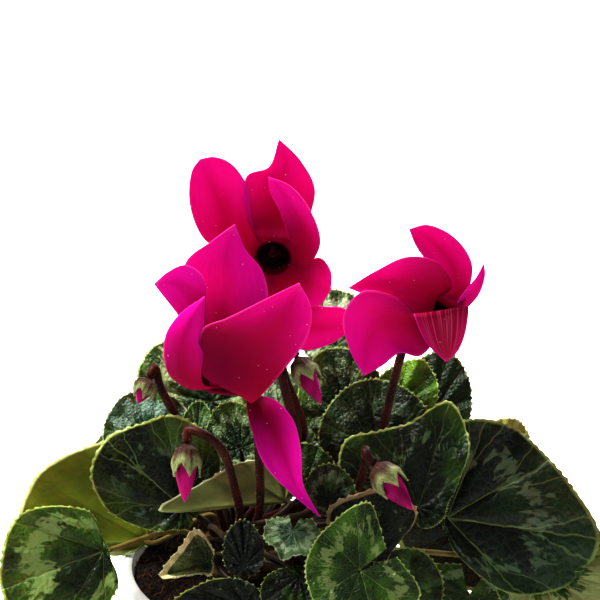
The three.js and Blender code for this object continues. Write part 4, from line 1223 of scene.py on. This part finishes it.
def pot_inside(gap):
    """Radius and height of the pot's inside at its floor, its ledge and its rim"""
    ledge = POT["height"] - POT["rim_depth"]
    slope = (POT["rim"] - POT["step"] - POT["foot"]) / POT["height"]
    heights = (0, ledge, POT["height"])
    return [(POT["foot"] + slope * h - POT["wall"] - gap, max(h, POT["floor"] + gap)) for h in heights]


class CYCLAMEN_OT_pot(bpy.types.Operator):
    """Build the pot with its rolled rim and its drain holes"""

    bl_idname = "cyclamen.pot"
    bl_label = "Pot"

    def execute(self, context):
        settings = context.scene.cyclamen_pot
        foot, ledge, rim = pot_inside(0)
        low, top, edge = ledge[1], rim[1], POT["rim"]
        profile = [(POLE, 0), (POT["foot"] - 2, 0), (POT["foot"] - 0.6, 0.4), (POT["foot"], 1.6)]
        profile += [(ledge[0] + POT["wall"], low), (edge - 0.6, low + 0.2), (edge - 0.15, low + 0.7)]
        profile += [(edge, low + 1.6), (edge, top - 1.6), (edge - 0.2, top - 0.6), (edge - 0.9, top - 0.05)]
        profile += [(rim[0] + 0.5, top - 0.05), (rim[0], top - 0.6), ledge, foot, (POLE, POT["floor"])]
        shape = Shape()
        shape.turned(profile, settings.sides)
        plastic = mottled("Pot plastic", settings.plastic, "bcbcb7", 30, 0.38, 0.00003)
        piece = shape.build("pot_fine", [plastic])
        angles = 2 * math.pi * (np.arange(DRAIN["count"]) + 0.5) / DRAIN["count"]
        holes = [np.array([math.cos(a), math.sin(a), 0]) * DRAIN["ring"] for a in angles]
        drilled(piece, holes, DRAIN["radius"], DRAIN["depth"])
        settle(piece, "pot_plastic", "pot")
        return {"FINISHED"}


class CYCLAMEN_OT_soil(bpy.types.Operator):
    """Build the soil with its grains and fibres, and colour the tuber"""

    bl_idname = "cyclamen.soil"
    bl_label = "Soil"

    def execute(self, context):
        settings = context.scene.cyclamen_pot
        foot, ledge, rim = pot_inside(GAP * 1.2)
        edge = ledge[0] + (rim[0] - ledge[0]) * (SOIL["edge"] - ledge[1]) / (rim[1] - ledge[1])
        rise = SOIL["level"] - SOIL["edge"]
        shares = np.linspace(SOIL["outermost"], POLE / edge, PIECES["heap"])
        rises = [rise * min(SOIL["steepness"] * (1 - share), 1) for share in shares]
        heap = [(edge * share, SOIL["edge"] + up) for share, up in zip(shares, rises)]
        phases = np.random.default_rng(settings.seed).uniform(0, 6.28, (SOIL["waves"], 2))

        def lumpy(radius, height, turns):
            x, y = radius * np.cos(turns), radius * np.sin(turns)
            lump = sum(
                np.sin(x * (0.12 + 0.07 * k) + a) * np.cos(y * (0.14 + 0.06 * k) + b)
                for k, (a, b) in enumerate(phases)
            )
            loose = (height > SOIL["edge"]) & (radius > 0.5)
            return radius, height + np.where(loose, lump * SOIL["lumps"], 0)

        shape = Shape()
        profile = [(POLE, foot[1]), foot, ledge, (edge, SOIL["edge"] - 0.4), *heap]
        shape.turned(profile, SIDES["soil"], bend=lumpy)
        piece = shape.build("soil_fine", [mottled("Peat", "080503", settings.peat, 260, 0.95, 0.002)])
        crumb = mottled("Crumbs", "0c0704", "2c1b10", 420, 0.95, 0.001)
        straw = mottled("Fibres", "4a2c14", "8a5428", 300, 0.85)
        group = scatter_group("Strewn over the top")
        grain, fibre = grain_pattern("Crumb", (1, 0.8, 0.7)), grain_pattern("Fibre", (0.16, 3.4, 0.16))
        lying = {"slope": 0.35, "tumble": 3.1}
        strew(piece, group, grain, crumb, (0.35, 1.15), settings.seed, settings.grit, **lying)
        strew(piece, group, fibre, straw, (0.4, 1.2), settings.seed + 1, settings.fibres, **lying)
        settle(piece, "peat", "soil")
        tuber = frame["nodes"]["tuber"]
        tuber.data.materials.clear()
        tuber.data.materials.append(mottled("Corky skin", "2b1c12", settings.cork, 180, 0.9, 0.0012))
        return {"FINISHED"}


class CYCLAMEN_OT_leaves(bpy.types.Operator):
    """Build each leaf with its toothed edge, puckered face and stalk"""

    bl_idname = "cyclamen.leaves"
    bl_label = "Leaves"

    def execute(self, context):
        settings = context.scene.cyclamen_leaf
        group = leaf_group(settings.veins)
        # Most leaf stalks are nearly black: their own brown darkened with painted shade of the crowd under
        # the leaves
        dark = mottled("Leaf stalk", "1a0f09", settings.stalk, 60, 0.5)
        pale = mottled("Pale leaf stalk", "4c3a12", settings.pale_stalk, 60, 0.5)
        gland = mottled("Gland", "a9b36a", "d8dca0", 90, 0.5)
        beads = scatter_group("Beads at the teeth", "tooth")
        bead = grain_pattern("Bead", (0.3, 0.3, 0.3))
        sockets = leaf_sockets()
        for number, name in enumerate(LEAVES):
            shape = leaf_shape(name, sockets[name], settings)
            stalk = pale if name in PALE_STALKS else dark
            piece = shape.build(name + "_fine", [leaf_material(name, group, number), stalk])
            strew(piece, beads, bead, gland, (0.7, 1.1), number)
            settle(piece, "foliage", name)
        return {"FINISHED"}


class CYCLAMEN_OT_flowers(bpy.types.Operator):
    """Build the blooms and the buds with their stalks"""

    bl_idname = "cyclamen.flowers"
    bl_label = "Blooms and buds"

    def execute(self, context):
        settings = context.scene.cyclamen_flower
        # The nearly black throat: the flower's own dark eye with painted shade of the deep hole
        throat = mottled("Throat", "0a0103", "2a0410", 400, 0.7)
        anther = mottled("Anthers", "3a1018", "7a3a3c", 500)
        petal = [petal_material(petal_group(settings)), throat, anther]
        wound = [mottled("Bud petals", "98005a", settings.bud, 140, 0.45, soft=0.2, stretch=(1, 1, 0.2))]
        stalk = [mottled("Flower stalk", "2c0b06", settings.stalk, 90, 0.5, soft=0.05), sepal_material()]
        # Dew: pale, nearly white beads, clear water whose glints are painted in as colour
        dew = grain_pattern("Drop", (0.9, 0.9, 0.5)), mottled("Dew", "f4c4dc", "fff0f8", 90, 0.2)
        hair = hair_pattern(), mottled("Down", "b99a86", "d8c4b4", 60)
        dewy, hairy = scatter_group("Dew"), scatter_group("Hairs")
        shapes = {name: (bloom_petals(name, settings), bloom_stalk(name), petal) for name in BLOOMS}
        shapes |= {name: (bud_petals(name), bud_stalk(name), wound) for name in BUDS}
        for number, (name, (petals, stem, materials)) in enumerate(shapes.items()):
            piece = petals.build(name + "_petals_fine", materials)
            if name in BLOOMS:
                strew(piece, dewy, *dew, (0.1, 0.28), number, settings.drops)
            settle(piece, "petal", name + "_petals")
            piece = stem.build(name + "_stalk_fine", stalk)
            strew(piece, hairy, *hair, (0.4, 1.0), settings.seed + number, settings.hairs, tumble=0.3)
            settle(piece, "stem", name + "_stalk")
        return {"FINISHED"}


class CYCLAMEN_OT_stage(bpy.types.Operator):
    """Set up the floor, the lights and the camera"""

    bl_idname = "cyclamen.stage"
    bl_label = "Stage"

    def execute(self, context):
        settings = context.scene.cyclamen_stage
        scene = context.scene
        mesh = bpy.data.meshes.new("Floor")
        corners = [(x * FLOOR, y * FLOOR, 0) for x, y in ((-1, -1), (1, -1), (1, 1), (-1, 1))]
        mesh.from_pydata(corners, [], [(0, 1, 2, 3)])
        pale, n, given = new_material("Pale floor", 0.9)
        given["Base Color"].default_value = (0.9, 0.9, 0.9, 1)
        given["Emission Color"].default_value = (1, 1, 1, 1)
        to_camera = n.add("ShaderNodeLightPath").outputs["Is Camera Ray"]
        n.link(n.times(to_camera, settings.glow), given["Emission Strength"])
        mesh.materials.append(pale)
        floor = bpy.data.objects.new("Floor", mesh)
        scene.collection.objects.link(floor)

        scene.world = bpy.data.worlds.new("Surroundings")
        scene.world.use_nodes = True
        n = Nodes(scene.world.node_tree)
        to_camera = n.add("ShaderNodeLightPath").outputs["Is Camera Ray"]
        strengths = {"Value": to_camera, "To Min": settings.sky, "To Max": 1.0}
        background = n.tree.nodes["Background"].inputs
        background["Color"].default_value = (1, 1, 1, 1)
        n.link(n.add("ShaderNodeMapRange", strengths).outputs[0], background["Strength"])

        for name, (width, place) in LIGHTS.items():
            lamp = bpy.data.lights.new(name, "AREA")
            lamp.energy, lamp.size = getattr(settings, name.lower()), width
            light = bpy.data.objects.new(name, lamp)
            light.location = place
            light.rotation_euler = (LIT - light.location).to_track_quat("-Z", "Y").to_euler()
            scene.collection.objects.link(light)

        data = bpy.data.cameras.new("Camera")
        data.sensor_width = 36
        data.lens = data.sensor_width * FOCAL / (2 * MIDDLE)
        data.clip_start, data.clip_end = 0.05, 50
        camera = bpy.data.objects.new("Camera", data)
        camera.location = EYE * MM
        camera.rotation_euler = (math.pi / 2 - PITCH, 0, 0)
        scene.collection.objects.link(camera)
        scene.camera = camera
        scene.view_settings.view_transform = "Standard"
        scene.view_settings.exposure, scene.view_settings.gamma = 0.35, 0.8
        return {"FINISHED"}


class CYCLAMEN_PT_panel(bpy.types.Panel):
    """Sizes, colours and builders of the plant"""

    bl_idname = "CYCLAMEN_PT_panel"
    bl_label = "Potted cyclamen"
    bl_space_type = "VIEW_3D"
    bl_region_type = "UI"
    bl_category = "Cyclamen"

    def draw(self, context):
        for name, (group, operators) in PARTS.items():
            box = self.layout.box()
            for key in group.__annotations__:
                box.prop(getattr(context.scene, name), key)
            for operator in operators:
                box.operator(operator.bl_idname)


PARTS = {
    "cyclamen_pot": (PotSettings, (CYCLAMEN_OT_pot, CYCLAMEN_OT_soil)),
    "cyclamen_leaf": (LeafSettings, (CYCLAMEN_OT_leaves,)),
    "cyclamen_flower": (FlowerSettings, (CYCLAMEN_OT_flowers,)),
    "cyclamen_stage": (StageSettings, (CYCLAMEN_OT_stage,)),
}
CLASSES = [item for group, operators in PARTS.values() for item in (group, *operators)]
CLASSES.append(CYCLAMEN_PT_panel)


def register():
    for item in CLASSES:
        bpy.utils.register_class(item)
    for name, (group, _) in PARTS.items():
        setattr(bpy.types.Scene, name, bpy.props.PointerProperty(type=group))


def unregister():
    for name in PARTS:
        delattr(bpy.types.Scene, name)
    for item in reversed(CLASSES):
        bpy.utils.unregister_class(item)


def main():
    register()
    bpy.ops.cyclamen.pot()
    bpy.ops.cyclamen.soil()
    bpy.ops.cyclamen.leaves()
    bpy.ops.cyclamen.flowers()
    bpy.ops.cyclamen.stage()
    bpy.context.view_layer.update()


if __name__ == "__main__":
    main()
